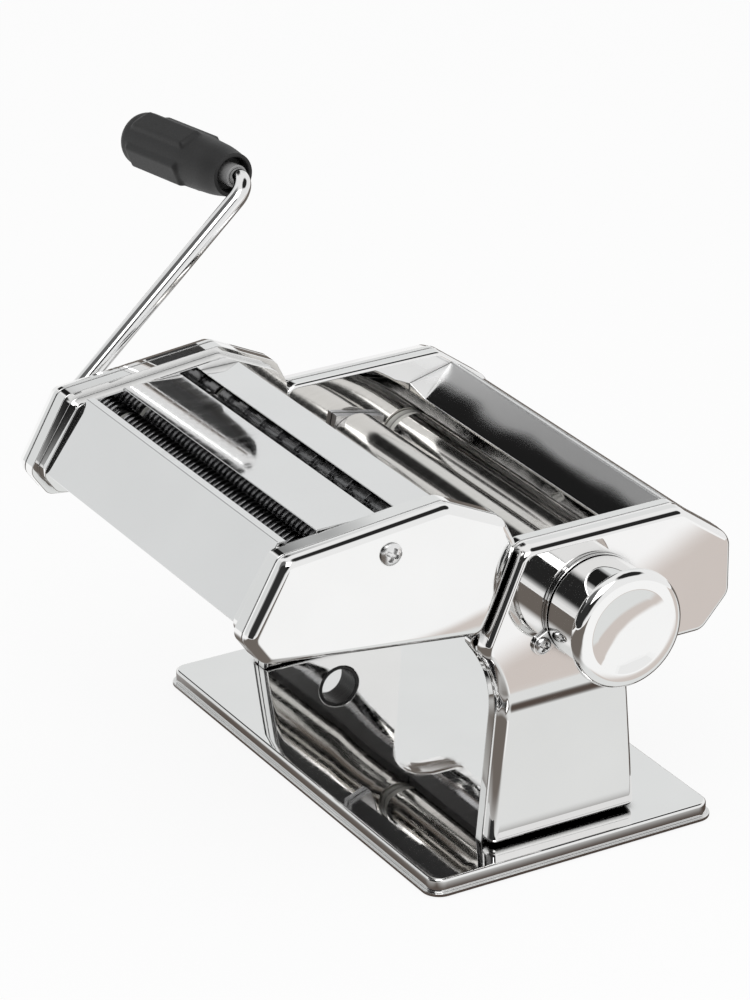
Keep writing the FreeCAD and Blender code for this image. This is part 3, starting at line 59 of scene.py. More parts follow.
class Wire:  # a shader socket that takes part in Python sums
    def __init__(self, tree, socket=None):
        self.tree = tree
        self.socket = socket

    def add(self, kind, settings, values, output=0):  # any node: its settings first, then its sockets
        node = self.tree.nodes.new(kind)
        for name, value in settings.items():
            if name == "stops":
                fillRamp(node.color_ramp, value)
            else:
                setattr(node, name, value)
        for key, value in values.items():
            if isinstance(value, Wire):
                self.tree.links.new(value.socket, node.inputs[key])
            else:
                node.inputs[key].default_value = value
        return Wire(self.tree, node.outputs[output] if node.outputs else None)

    def reckon(self, operation, first, second):
        return self.add("ShaderNodeMath", {"operation": operation}, {0: first, 1: second})

    def __add__(self, other):
        return self.reckon("ADD", self, other)

    def __radd__(self, other):
        return self.reckon("ADD", other, self)

    def __sub__(self, other):
        return self.reckon("SUBTRACT", self, other)

    def __rsub__(self, other):
        return self.reckon("SUBTRACT", other, self)

    def __mul__(self, other):
        return self.reckon("MULTIPLY", self, other)

    def __rmul__(self, other):
        return self.reckon("MULTIPLY", other, self)

    def step(self, low, high):  # a soft step from 0 at low to 1 at high
        values = {"Value": self, "From Min": low, "From Max": high}
        return self.add("ShaderNodeMapRange", {"interpolation_type": "SMOOTHSTEP"}, values)

    def spread(self, low, high):  # a value of 0 to 1 spread from low to high
        return self * (high - low) + low

    def ramp(self, stops):
        return self.add("ShaderNodeValToRGB", {"stops": stops}, {0: self})

    def tint(self, first, second):  # colour from first to second
        return self.add("ShaderNodeMix", {"data_type": "RGBA"}, {0: self, 6: first, 7: second}, 2)

    def axes(self):  # the three parts of a vector
        split = self.add("ShaderNodeSeparateXYZ", {}, {"Vector": self})
        return [Wire(self.tree, socket) for socket in split.socket.node.outputs]


def fillRamp(ramp, stops):
    while len(ramp.elements) < len(stops):
        ramp.elements.new(1.0)
    for element, (place, colour) in zip(ramp.elements, stops):
        element.position = place
        element.color = colour


def grey(level):
    return (level, level, level, 1)


def newFinish(name):
    material = bpy.data.materials.new(name)
    material.use_nodes = True
    material.node_tree.nodes.clear()
    sheet = Wire(material.node_tree)
    place = sheet.add("ShaderNodeTexCoord", {}, {}, "Object")
    return material, sheet, place


def closeFinish(sheet, values):
    shader = sheet.add("ShaderNodeBsdfPrincipled", {}, values)
    sheet.add("ShaderNodeOutputMaterial", {}, {"Surface": shader})


def noise(sheet, place, scale, detail=2.0, stretch=(1, 1, 1)):
    moved = sheet.add("ShaderNodeMapping", {}, {"Vector": place, "Scale": stretch})
    return sheet.add("ShaderNodeTexNoise", {}, {"Vector": moved, "Scale": scale, "Detail": detail})


def mottled(mask, colour, share):  # the colour, darkened to a share of itself where the mask is 0
    return mask.tint((*(share * c for c in colour), 1), (*colour, 1))


def bumped(height, strength=1.0, distance=1.0):
    values = {"Strength": strength, "Distance": distance, "Height": height}
    return height.add("ShaderNodeBump", {}, values)


# Bright plate: faint wipes and ripples, with painted shade that darkens the colour in the narrow gaps
plateForm = {
    "cloud": 26.0, "wipe": 420.0, "wipeStretch": (1, 0.25, 1), "ripple": 30.0,
    "dull": (0.45, 0.75), "duller": 0.05, "shade": 0.93,
    "paintedShadeReach": 5.0 * mm, "paintedShadeRays": 6, "paintedShadeStep": (0.15, 0.75), "paintedShadeColour": (0.02, 0.019, 0.018, 1),
}


def chromeFinish(name, colour, rough, wave, press=None):
    material, sheet, place = newFinish(name)
    cloud = noise(sheet, place, plateForm["cloud"], detail=3.0)
    wipe = noise(sheet, place, plateForm["wipe"], detail=4.0, stretch=plateForm["wipeStretch"])
    height = noise(sheet, place, plateForm["ripple"], detail=1.0) * wave
    if press:  # a soft rise over the slope from leg to head
        low, high, rise = press
        height = height + place.axes()[2].step(low, high) * rise
    begin, end = plateForm["dull"]
    dull = wipe.ramp([(begin, grey(0)), (end, grey(1))])
    # painted shade: ambient occlusion turns the plate colour near-black in narrow gaps and crevices
    settings = {"samples": plateForm["paintedShadeRays"]}
    clear = sheet.add("ShaderNodeAmbientOcclusion", settings, {"Distance": plateForm["paintedShadeReach"]}, "AO")
    plate = mottled(cloud, colour, plateForm["shade"])
    tint = clear.step(*plateForm["paintedShadeStep"]).tint(plateForm["paintedShadeColour"], plate)
    wiped = dull.spread(rough, rough + plateForm["duller"])
    closeFinish(sheet, {"Base Color": tint, "Metallic": 1.0, "Roughness": wiped, "Normal": bumped(height)})
    return material


# Hopper sheet: wiped dull in soft clouds, more so towards the top edge
hazeForm = {
    "cloud": 15.0, "stretch": (1, 2.0, 2.0), "top": (112.5 * mm, 119.5 * mm), "topShare": 0.75,
    "cloudShare": 0.9, "less": 0.35, "edge": (0.25, 0.75), "clear": grey(0.9), "hazy": grey(0.84),
    "rough": (0.05, 0.34), "grain": 900.0, "grainHigh": 0.004 * mm,
}


def hazeFinish(name):
    material, sheet, place = newFinish(name)
    cloud = noise(sheet, place, hazeForm["cloud"], stretch=hazeForm["stretch"])
    top = place.axes()[2].step(*hazeForm["top"])
    haze = top * hazeForm["topShare"] + cloud * hazeForm["cloudShare"] - hazeForm["less"]
    haze = haze.step(*hazeForm["edge"])
    tint = haze.tint(hazeForm["clear"], hazeForm["hazy"])
    bump = bumped(noise(sheet, place, hazeForm["grain"]) * hazeForm["grainHigh"])
    rough = haze.spread(*hazeForm["rough"])
    closeFinish(sheet, {"Base Color": tint, "Metallic": 1.0, "Roughness": rough, "Normal": bump})
    return material


# Lathe work: fine rings round X
turnedForm = {
    "ringStretch": (1, 0.02, 0.02), "cloud": 60.0, "ringShare": 0.6, "cloudShare": 0.4, "shade": 0.85,
    "bump": (0.03, 0.1 * mm),
}


def turnedFinish(name, colour, low, high, lines):
    material, sheet, place = newFinish(name)
    rings = noise(sheet, place, lines, stretch=turnedForm["ringStretch"])
    cloud = noise(sheet, place, turnedForm["cloud"], detail=3.0)
    mask = rings * turnedForm["ringShare"] + cloud * turnedForm["cloudShare"]
    tint = mottled(mask, colour, turnedForm["shade"])
    bump = bumped(rings, *turnedForm["bump"])
    rough = rings.spread(low, high)
    closeFinish(sheet, {"Base Color": tint, "Metallic": 1.0, "Roughness": rough, "Normal": bump})
    return material


# Mouldings: a fine skin
mouldedForm = {"cloud": 45.0, "shade": 0.75, "bump": (0.25, 0.2 * mm), "smoother": 0.08, "rougher": 0.1}


def mouldedFinish(name, colour, rough, grain):
    material, sheet, place = newFinish(name)
    skin = noise(sheet, place, grain, detail=3.0)
    tint = mottled(noise(sheet, place, mouldedForm["cloud"]), colour, mouldedForm["shade"])
    bump = bumped(skin, *mouldedForm["bump"])
    uneven = skin.spread(rough - mouldedForm["smoother"], rough + mouldedForm["rougher"])
    closeFinish(sheet, {"Base Color": tint, "Roughness": uneven, "Normal": bump})
    return material


ripple = 0.01 * mm
slope = (57.8 * mm, 69.2 * mm, 1.5 * mm)  # from, to, rise
finishes = {  # by material slot
    "chrome": chromeFinish("chromePlate", (0.93, 0.93, 0.925), 0.02, ripple),
    "sheet_steel": chromeFinish("brightSheet", (0.91, 0.91, 0.91), 0.04, 1.5 * ripple),
    "roller_metal": turnedFinish("satinRoller", (0.80, 0.78, 0.75), 0.10, 0.17, 400.0),
    "cutter_metal": turnedFinish("turnedRings", (0.24, 0.24, 0.245), 0.16, 0.3, 1500.0),
    "gear_steel": turnedFinish("cutGear", (0.45, 0.45, 0.46), 0.25, 0.42, 700.0),
    "works_steel": turnedFinish("drawnSteel", (0.6, 0.6, 0.61), 0.2, 0.36, 800.0),
    "screw_steel": chromeFinish("screwHead", (0.86, 0.86, 0.86), 0.24, ripple),
    "scraper_plastic": mouldedFinish("darkScraper", (0.03, 0.03, 0.032), 0.5, 900.0),
    "bush_plastic": mouldedFinish("paleBush", (0.75, 0.74, 0.7), 0.45, 900.0),
    "grip_plastic": mouldedFinish("blackGrip", (0.011, 0.011, 0.0115), 0.55, 1400.0),
    "ferrule_plastic": mouldedFinish("greyFerrule", (0.3, 0.3, 0.3), 0.4, 900.0),
    "foot_rubber": mouldedFinish("footRubber", (0.02, 0.02, 0.02), 0.7, 700.0),
}
pressedFinish = chromeFinish("pressedCover", (0.93, 0.925, 0.92), 0.02, ripple, slope)
ownFinish = {  # by node, before its slot
    "side_cover_left": pressedFinish,
    "side_cover_right": pressedFinish,
    "hopper": hazeFinish("hazySheet"),
    "crank_rod": chromeFinish("drawnRod", (0.88, 0.88, 0.88), 0.06, 0.0),
    "clamp_sleeve": turnedFinish("darkSleeve", (0.05, 0.05, 0.05), 0.2, 0.35, 800.0),
}
print("finishes made:", len(finishes) + len(set(ownFinish.values())))


def dress(piece, node):
    slot = slotOf[node]
    bpy.context.scene.collection.objects.link(piece)
    piece.data.materials.clear()
    piece.data.materials.append(ownFinish.get(node, finishes[slot]))
    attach(piece, bodyOf[node])
    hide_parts(node)
    made.add(node)


# Surfaces worked out on whole grids of points, in millimetres
def softPath(corners, radii, steps=8):
    # straight runs between corners, with an arc of the given radius at each inner corner
    corners = np.array(corners, float)
    runs = [corners[:1]]
    for before, here, after, radius in zip(corners[:-2], corners[1:-1], corners[2:], radii):
        first = (before - here) / np.linalg.norm(before - here)
        second = (after - here) / np.linalg.norm(after - here)
        half = math.acos(np.clip(first @ second, -1, 1)) / 2
        middle = first + second
        centre = here + middle / np.linalg.norm(middle) * radius / math.sin(half)
        start = here + first * radius / math.tan(half) - centre
        end = here + second * radius / math.tan(half) - centre
        share = np.linspace(0, 1, steps + 1)[:, None]
        bow = math.pi - 2 * half
        arc = np.sin((1 - share) * bow) * start + np.sin(share * bow) * end
        runs.append(centre + arc / math.sin(bow))
    return np.vstack(runs + [corners[-1:]])


def ease(value, low, high):
    # 0 up to low, 1 from high, and between them a cubic that is level at both ends
    share = np.clip((value - low) / (high - low), 0, 1)
    return share * share * (3 - 2 * share)


def turnedGrid(profile, centre, count):
    # a profile of (place along X, radius) carried round an axis along X
    angle = np.linspace(0, 2 * math.pi, count, endpoint=False)
    along, radius = np.array(profile).T
    x = np.repeat(along[:, None], count, 1)
    y = centre[0] + np.outer(radius, np.cos(angle))
    z = centre[1] + np.outer(radius, np.sin(angle))
    return np.stack([x, y, z], -1)


def ringFaces(rows, columns, base=0):
    # the cells of a grid that closes across its columns
    spots = base + np.arange(rows * columns).reshape(rows, columns)
    spots = np.hstack([spots, spots[:, :1]])
    return np.stack([spots[:-1, :-1], spots[1:, :-1], spots[1:, 1:], spots[:-1, 1:]], -1).reshape(-1, 4)


def weldedMesh(name, verts, faces, facing=False):
    # doubles merged and faces turned outwards; an open shell has its largest face towards +X
    mesh = bpy.data.meshes.new(name)
    mesh.from_pydata((verts * mm).tolist(), [], faces)
    work = bmesh.new()
    work.from_mesh(mesh)
    bmesh.ops.remove_doubles(work, verts=work.verts, dist=weld)
    bmesh.ops.recalc_face_normals(work, faces=work.faces)
    if facing and max(work.faces, key=lambda face: face.calc_area()).normal.x < 0:
        bmesh.ops.reverse_faces(work, faces=work.faces)
    work.to_mesh(mesh)
    work.free()
    mesh.shade_smooth()
    return mesh


def newPiece(name, grids, node, sharp=32):
    # grids of points, closed across their columns, welded into one piece that stands for a node
    faces = []
    base = 0
    for grid in grids:
        rows, columns = grid.shape[:2]
        faces.append(ringFaces(rows, columns, base))
        base += rows * columns
    verts = np.vstack([grid.reshape(-1, 3) for grid in grids])
    mesh = weldedMesh(name, verts, np.vstack(faces).tolist())
    mesh.set_sharp_from_angle(angle=math.radians(sharp))
    dress(bpy.data.objects.new(name, mesh), node)


def shellPiece(name, verts, faces, node, sheet):
    # one outer surface, given the thickness of its sheet
    piece = bpy.data.objects.new(name, weldedMesh(name, verts, faces, True))
    dress(piece, node)
    wall = piece.modifiers.new("sheet", "SOLIDIFY")
    wall.thickness = sheet * mm
    wall.offset = -1


def boxOf(node):
    low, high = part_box(node)
    return np.array(low) / mm, np.array(high) / mm


# Gap knob: a plain skirt, a stepped rim rolled over into a shallow dish
knobForm = {
    "web": 8.6, "wall": 1.6, "skirt": 19.9, "rim": 22.8, "rimWidth": 5.0, "dish": 16.4, "deep": 2.8,
    "lip": 3.0, "rounds": [0.8, 0.5, 0.6, 0.7, 0.8, 4.0, 2.0], "arc": 12, "bowlSteps": 30, "count": 128,
    "sharp": 40,
}


def makeKnob():
    # a profile carried round the knob's axis; the dish is less deep with the square of the radius
    low, high = boxOf("adjust_knob")
    back, front = low[0], high[0]
    skirt, rim, dish = knobForm["skirt"], knobForm["rim"], knobForm["dish"]
    bore = skirt - knobForm["wall"]
    web = front - knobForm["web"]
    step = front - knobForm["rimWidth"]
    radius = np.linspace(dish - knobForm["lip"], 0, knobForm["bowlSteps"])
    bowl = np.stack([front - knobForm["deep"] * (1 - (radius / dish) ** 2), radius], -1)
    corners = [
        (web, 0), (web, bore), (back, bore), (back, skirt), (step, skirt), (step, rim), (front, rim),
        (front, dish), bowl[0],
    ]
    profile = np.vstack([softPath(corners, knobForm["rounds"], knobForm["arc"]), bowl[1:]])
    grid = turnedGrid(profile, (low[1:] + high[1:]) / 2, knobForm["count"])
    newPiece("knobTurned", [grid], "adjust_knob", knobForm["sharp"])


# Pressed shells: an outline carried in over a rounded rim to a face
coverForm = {
    "corners": [
        (-17.5, 125.3), (50.3, 125.3), (72.4, 109.2), (72.4, 86.4), (60.3, 73.1), (28.6, 73.1),
        (33.5, 7.5), (-30.0, 7.5), (-23.4, 71.5), (-34.05, 87.55),
    ],
    "radii": [7, 7, 7, 7, 7, 14, 3, 3, 42, 7],
    "rim": 84.5, "head": 92.1, "leg": 90.3, "foot": 11.5, "slope": (57.6, 69.4), "waist": 70.5,
    "inset": 2.6, "sheet": 0.9, "rows": (4.0, 0.7), "arc": 24, "fine": 0.25, "every": 3, "clear": 0.05,
    "touch": 0.01, "tie": 0.001,
}
capForm = {
    "corners": [
        (-112.7, 143.0), (-47.3, 149.0), (-23.3, 137.5), (-17.85, 126.5), (-32.36, 93.4),
        (-121.3, 104.5), (-128.6, 115.0),
    ],
    "radii": [5] * 7,
    "rim": 84.5, "face": 90.5, "inset": 3.4, "sheet": 0.9, "arc": 14, "gap": 1.5,
    "crown": 0.9, "middle": (-74.0, 122.0), "half": (58.0, 27.0), "rings": 24,
}
rimForm = {
    "steps": 12, "wall": [(0, 0), (0.1, 0.2)], "bowIn": 0.15, "bowOut": 0.3, "bowHigh": 0.7, "flat": 0.5,
}


def closedPath(form):
    # the soft path round all corners, from the middle of the last side back to it
    corners = [np.array(corner, float) for corner in form["corners"]]
    seam = (corners[-1] + corners[0]) / 2
    return softPath([seam, *corners, seam], form["radii"], form["arc"])


def evenPoints(path, gap):
    # the same line with points at even distances
    reach = np.concatenate([[0], np.cumsum(np.linalg.norm(np.diff(path, axis=0), axis=1))])
    stops = np.linspace(0, reach[-1], max(2, int(reach[-1] / gap)) + 1)
    return np.stack([np.interp(stops, reach, path[:, k]) for k in range(2)], -1)


def outwards(path):
    # the outward direction at each point of a closed line
    along = np.roll(path, -1, 0) - np.roll(path, 1, 0)
    along /= np.linalg.norm(along, axis=1)[:, None]
    area = np.sum(path[:, 0] * np.roll(path[:, 1], -1) - np.roll(path[:, 0], -1) * path[:, 1])
    return np.stack([along[:, 1], -along[:, 0]], -1) * np.sign(area)


def rimSteps(inset):
    # how far in, in millimetres, and how far out, as a share:
    # a short wall, a quarter of an ellipse, a narrow flat
    turn = np.linspace(0, math.pi / 2, rimForm["steps"])
    inwards = rimForm["bowIn"] + inset * (1 - np.cos(turn))
    out = rimForm["bowOut"] + rimForm["bowHigh"] * np.sin(turn)
    return np.vstack([rimForm["wall"], np.stack([inwards, out], -1), [(inset + rimForm["flat"], 1.0)]])


def makeCover():
    # the outline is carried in over the rim, and the face eases from the leg's place to the head's;
    # the leg's two sides have points at the same heights, so that straight rows cross the slope
    form = coverForm
    low, waist, clear = form["foot"], form["waist"], form["clear"]
    coarse, close = form["rows"]
    heights = np.concatenate([
        np.arange(low, form["slope"][0], coarse), np.arange(form["slope"][0], waist, close), [waist],
    ])
    path = closedPath(form)[:-1]
    lowest = int(np.argmin(path[:, 1] + form["tie"] * path[:, 0]))
    path = np.roll(path, -lowest, 0)  # from the lower front corner
    fine = evenPoints(np.vstack([path, path[:1]]), form["fine"])[:-1]
    inLeg = (fine[:, 1] >= low - form["touch"]) & (fine[:, 1] <= waist)
    sides = []
    for points in (fine[inLeg & (fine[:, 0] < 0)], fine[inLeg & (fine[:, 0] > 0)]):
        points = points[np.argsort(points[:, 1])]
        sides.append(np.stack([np.interp(heights, points[:, 1], points[:, 0]), heights], -1))
    above = np.flatnonzero(fine[:, 1] > waist + clear)
    below = np.flatnonzero(fine[:, 1] < low - clear)
    below = np.concatenate([below[below > above[-1]], below[below < above[0]]])
    head, foot = fine[above][::form["every"]], fine[below][::form["every"]]
    ring = np.vstack([sides[0], head, sides[1][::-1], foot])
    steps = rimSteps(form["inset"])
    inner = ring[None] - outwards(ring)[None] * steps[:, :1, None]
    face = form["leg"] + (form["head"] - form["leg"]) * ease(inner[..., 1], *form["slope"])
    x = form["rim"] + (face - form["rim"]) * steps[:, 1:]
    verts = np.concatenate([x[..., None], inner], -1).reshape(-1, 3)
    columns, count = len(ring), len(heights)
    last = (len(steps) - 1) * columns  # the innermost ring bounds the face: head, rows of the leg, foot
    left = last + np.arange(count)
    top = last + np.arange(count - 1, count + len(head) + 1)
    right = last + count + len(head) + np.arange(count)[::-1]
    bottom = last + np.arange(2 * count + len(head) - 1, columns)
    faces = ringFaces(len(steps), columns).tolist()
    faces.append(top.tolist())
    faces.extend(np.stack([left[:-1], left[1:], right[1:], right[:-1]], -1).tolist())
    faces.append(bottom.tolist() + [int(left[0])])
    shellPiece("coverPressed", verts, faces, "side_cover_right", form["sheet"])


def makeCap():
    # over the rim, rings shrink to the middle of a face that falls off with the fourth power of the way out
    form = capForm
    ring = evenPoints(closedPath(form), form["gap"])[:-1]
    steps = rimSteps(form["inset"])
    inner = ring[None] - outwards(ring)[None] * steps[:, :1, None]
    middle = inner[-1].mean(0)
    shrink = np.linspace(1, 0, form["rings"])[1:, None, None]
    flat = np.vstack([inner, middle + (inner[-1][None] - middle) * shrink])
    away = (flat - np.array(form["middle"])) / np.array(form["half"])
    face = form["face"] - form["crown"] * np.sum(away ** 4, -1)
    out = np.concatenate([steps[:, 1], np.ones(len(shrink))])[:, None]
    verts = np.concatenate([(form["rim"] + (face - form["rim"]) * out)[..., None], flat], -1)
    faces = ringFaces(len(verts), len(ring)).tolist()
    shellPiece("capPressed", verts.reshape(-1, 3), faces, "cutter_cap_right", form["sheet"])


# Crank: one round rod bent twice in a leaning plane
crankForm = {
    "axis": (-104.8, 126.8), "angle": 42.3, "tilt": 6.0, "radius": 3.5, "reach": 113.0, "plane": 100.0,
    "bend": 8.0, "arc": 20, "start": 73.6, "spindle": 74.5, "count": 40, "end": 0.5, "sharp": 40,
}


def crankPlace(points):
    # from the crank's own plane to the part: turned about X, then moved to the drive axis
    turn = math.radians(crankForm["angle"])
    x, y, z = np.moveaxis(points, -1, 0)
    across = y * math.cos(turn) - z * math.sin(turn) + crankForm["axis"][0]
    up = y * math.sin(turn) + z * math.cos(turn) + crankForm["axis"][1]
    return np.stack([x, across, up], -1)


def makeCrank():
    # a circle carried along the bent line, with both ends chamfered and closed
    lean = math.radians(crankForm["tilt"])
    upper = np.array((-crankForm["plane"], crankForm["reach"]))
    tip = upper - crankForm["spindle"] * np.array((math.cos(lean), math.sin(lean)))
    corners = [(-crankForm["start"], 0), (-crankForm["plane"], 0), upper, tip]
    path = softPath(corners, [crankForm["bend"]] * 2, crankForm["arc"])
    way = np.gradient(path, axis=0)
    way[0] = path[1] - path[0]
    way[-1] = path[-1] - path[-2]
    way /= np.linalg.norm(way, axis=1)[:, None]
    end = crankForm["end"]
    first, last = path[:1], path[-1:]
    path = np.vstack([first, first, first + end * way[:1], path[1:-1], last - end * way[-1:], last, last])
    way = np.vstack([way[:1], way[:1], way, way[-1:], way[-1:]])
    radius = np.full(len(path), crankForm["radius"])
    radius[[0, -1]] = 0
    radius[[1, -2]] -= end
    angle = np.linspace(0, 2 * math.pi, crankForm["count"], endpoint=False)
    side = np.stack([-way[:, 1], way[:, 0]], -1)
    flat = path[:, None, :] + side[:, None, :] * (radius[:, None] * np.cos(angle))[..., None]
    grid = np.concatenate([flat, (radius[:, None] * np.sin(angle))[..., None]], -1)
    newPiece("crankBent", [crankPlace(grid)], "crank_rod", crankForm["sharp"])


# Grip: a swelling handle with four flat pads, open round the ferrule
gripForm = {
    "start": 11.6, "length": 68.0, "bore": 3.6, "mouth": 7.0, "mouthDeep": 6.0, "wall": 5.0, "turn": 22.0,
    "outline": [(0.0, 8.4), (9.0, 10.0), (25.0, 10.8), (63.0, 10.8)], "lip": (0, 8.0), "lipRound": 0.4,
    "rounds": [0.5, 0.4, 0.8, 0.6], "padTop": 11.6, "padFrom": 24.0, "padTo": 60.0, "padHalf": 4.5,
    "blur": 1.3, "rows": 120, "smooth": 6, "endRows": 14, "count": 160, "sharp": 50,
}


def makeGrip():
    # a profile carried round the spindle; over a pad, the radius becomes that of a flat
    form = gripForm
    full = form["length"] - form["wall"]
    bore, mouth, deep = form["bore"], form["mouth"], form["mouthDeep"]
    corners = [(full, 0), (full, bore), (deep, bore), (deep, mouth), (0, mouth), (0, form["outline"][0][1])]
    inner = softPath(corners, form["rounds"])
    along = np.linspace(form["lipRound"], full, form["rows"])
    places, radii = np.array(form["outline"]).T
    swell = np.interp(along, places, radii)
    wide = 2 * form["smooth"] + 1
    swell = np.convolve(np.pad(swell, form["smooth"], mode="edge"), np.ones(wide) / wide, "valid")
    bend = np.linspace(0, math.pi / 2, form["endRows"])[1:]
    core = radii[-1] - form["wall"]
    cap = np.stack([full + form["wall"] * np.sin(bend), core + form["wall"] * np.cos(bend)], -1)
    outer = np.stack([along, swell], -1)
    profile = np.vstack([inner[:-1], [form["lip"]], outer, cap, [(form["length"], 0)]])
    angle = np.linspace(0, 2 * math.pi, form["count"], endpoint=False)
    near = (angle + math.pi / 4) % (math.pi / 2) - math.pi / 4  # from the middle of the nearest pad
    s = profile[:, :1]
    radius = np.repeat(profile[:, 1:], len(angle), 1)
    outside = (np.arange(len(profile)) >= len(inner))[:, None]
    blur = form["blur"]
    begun = ease(s, form["padFrom"] - blur, form["padFrom"] + blur)
    ended = ease(s, form["padTo"] - blur, form["padTo"] + blur)
    across = np.abs(radius * np.sin(near))
    aside = ease(across, form["padHalf"] - blur, form["padHalf"] + blur)
    share = begun * (1 - ended) * (1 - aside) * outside
    radius = radius + share * (form["padTop"] / np.cos(near) - radius)
    local = np.stack([np.repeat(s, len(angle), 1), radius * np.cos(angle), radius * np.sin(angle)], -1)
    turn = math.radians(form["turn"])
    lean = math.radians(180 + crankForm["tilt"])
    own = np.array([(1, 0, 0), (0, math.cos(turn), -math.sin(turn)), (0, math.sin(turn), math.cos(turn))])
    tilt = np.array([(math.cos(lean), -math.sin(lean), 0), (math.sin(lean), math.cos(lean), 0), (0, 0, 1)])
    corner = np.array((-crankForm["plane"], crankForm["reach"], 0))
    start = corner + tilt @ np.array((1.0, 0, 0)) * form["start"]
    newPiece("gripPadded", [crankPlace(local @ (tilt @ own).T + start)], "crank_grip", form["sharp"])


# Screws: a domed head with a cross recess, on a plain shank
screwForm = {
    "high": 1.8, "fall": 0.62, "power": 3.2, "shank": 1.6, "capLong": 10.7, "turn": 0.5, "count": 144,
    "rings": 34, "crossWide": 0.32, "crossLong": 0.62, "deep": 1.0, "blur": 0.22,
}


def screwGrid(place, side, under, tip, head):
    # height over a disc: a dome less a cross, then the rim, the seat and the shank
    form = screwForm
    angle = np.linspace(0, 2 * math.pi, form["count"], endpoint=False)
    radius = np.linspace(0, head, form["rings"])[:, None]
    u = np.abs(radius * np.cos(angle + form["turn"]))
    v = np.abs(radius * np.sin(angle + form["turn"]))
    wide, far, blur = head * form["crossWide"] / 2, head * form["crossLong"], form["blur"]
    bars = [
        (1 - ease(a, wide - blur, wide + blur)) * (1 - ease(b, far - blur, far + blur))
        for a, b in ((u, v), (v, u))
    ]
    dome = form["high"] * (1 - form["fall"] * (radius / head) ** form["power"])
    high = dome - form["deep"] * np.maximum(*bars)
    rest = np.array([(head, 0.0), (form["shank"], 0.0), (form["shank"], tip - under), (0, tip - under)])
    radius = np.vstack([radius, rest[:, :1]])
    high = np.vstack([high, np.repeat(rest[:, 1:], len(angle), 1)])
    x = side * (under + high)
    return np.stack([x, place[0] + radius * np.cos(angle), place[1] + radius * np.sin(angle)], -1)


def makeScrews():
    low, high = boxOf("cap_screws")
    middle = (low[1:] + high[1:]) / 2
    under, tip = high[0] - screwForm["high"], high[0] - screwForm["capLong"]
    head = (high[1] - low[1]) / 2
    pair = [screwGrid(middle, side, under, tip, head) for side in (-1, 1)]
    newPiece("capScrewsCross", pair, "cap_screws")
    low, high = boxOf("collar_screw")
    middle = (low[1:] + high[1:]) / 2
    under, head = high[0] - screwForm["high"], (high[1] - low[1]) / 2
    newPiece("collarScrewCross", [screwGrid(middle, 1, under, low[0], head)], "collar_screw")


# A soft-edged copy stands for each plain solid
softForm = {
    "merge": 0.002 * mm, "flat": math.radians(0.4), "sharp": math.radians(28), "edge": 0.25 * mm, "steps": 3,
}


def polishedCopy(node):
    mesh = nodes[node].data.copy()
    work = bmesh.new()
    work.from_mesh(mesh)
    bmesh.ops.remove_doubles(work, verts=work.verts, dist=softForm["merge"])
    bmesh.ops.dissolve_limit(
        work, angle_limit=softForm["flat"], verts=work.verts, edges=work.edges, use_dissolve_boundaries=False
    )
    work.to_mesh(mesh)
    work.free()
    mesh.shade_smooth()
    mesh.set_sharp_from_angle(angle=softForm["sharp"])
    piece = bpy.data.objects.new(f"{node}_shown", mesh)
    dress(piece, node)
    bevel = piece.modifiers.new("softEdge", "BEVEL")
    bevel.limit_method = "ANGLE"
    bevel.angle_limit = softForm["sharp"]
    bevel.width = softForm["edge"]
    bevel.segments = softForm["steps"]
    bevel.use_clamp_overlap = False
    bevel.harden_normals = True


makeKnob()
makeCover()
makeCap()
makeCrank()
makeGrip()
makeScrews()
print("shaped pieces:", len(made))
plainNodes = sorted(set(nodes) - made)
for node in plainNodes:
    polishedCopy(node)
print("soft-edged copies:", len(plainNodes))


# Camera at the photograph's place, fitted to the base, the side outlines and the rollers
view = {
    "azimuth": 59.128, "elevation": 24.667, "distance": 1748.4 * mm, "height": 104.58 * mm,
    "pixels": 4681.8, "across": 58.6, "frameHigh": 1000, "sensor": 36, "far": 50,
}


def placeCamera():
    turn = math.radians(view["azimuth"])
    lift = math.radians(view["elevation"])
    back = Vector((math.sin(turn) * math.cos(lift), -math.cos(turn) * math.cos(lift), math.sin(lift)))
    right = Vector((math.cos(turn), math.sin(turn), 0))
    middle = Vector((0, 0, view["height"]))
    eye = middle + back * view["distance"]
    aim = middle - right * (view["across"] / view["pixels"] * view["distance"])
    camera = bpy.data.objects.new("photoCamera", bpy.data.cameras.new("photoCamera"))
    bpy.context.scene.collection.objects.link(camera)
    behind = (eye - aim).normalized()
    above = back.cross(right)
    camera.matrix_world = Matrix((above.cross(behind), above, behind)).transposed().to_4x4()
    camera.location = eye
    camera.data.sensor_width = view["sensor"]
    camera.data.lens = view["pixels"] * view["sensor"] / view["frameHigh"]
    camera.data.clip_end = view["far"]
    bpy.context.scene.camera = camera


# Plain floor and light
stageForm = {
    "reach": 6.0, "tones": (grey(0.8), grey(0.84)), "grain": 8.0, "floorWhite": 0.9,
    "world": 0.75, "lamp": 12.0, "lampSize": 1.2, "lampPlace": (0.9, -0.6, 1.6),
}


def whiteMix(sheet, dark, share):
    # plain white as the camera and mirrors see it, in that share
    direct = sheet.add("ShaderNodeLightPath", {}, {}, "Is Camera Ray")
    mirror = sheet.add("ShaderNodeLightPath", {}, {}, "Is Glossy Ray")
    through = sheet.add("ShaderNodeLightPath", {}, {}, "Is Transmission Ray")
    seen = (direct + mirror + through) * share
    white = sheet.add("ShaderNodeEmission", {}, {"Color": grey(1.0), "Strength": 1.0})
    return sheet.add("ShaderNodeMixShader", {}, {0: seen, 1: dark, 2: white})


def putOnStage(name, verts, faces, material, mirroredOnly=False):
    mesh = bpy.data.meshes.new(name)
    mesh.from_pydata(verts, [], faces)
    mesh.materials.append(material)
    thing = bpy.data.objects.new(name, mesh)
    bpy.context.scene.collection.objects.link(thing)
    if mirroredOnly:
        for path in ("camera", "diffuse", "transmission", "volume_scatter", "shadow"):
            setattr(thing, f"visible_{path}", False)


def square(reach, height):
    return [(x * reach, y * reach, height) for x, y in ((-1, -1), (1, -1), (1, 1), (-1, 1))]


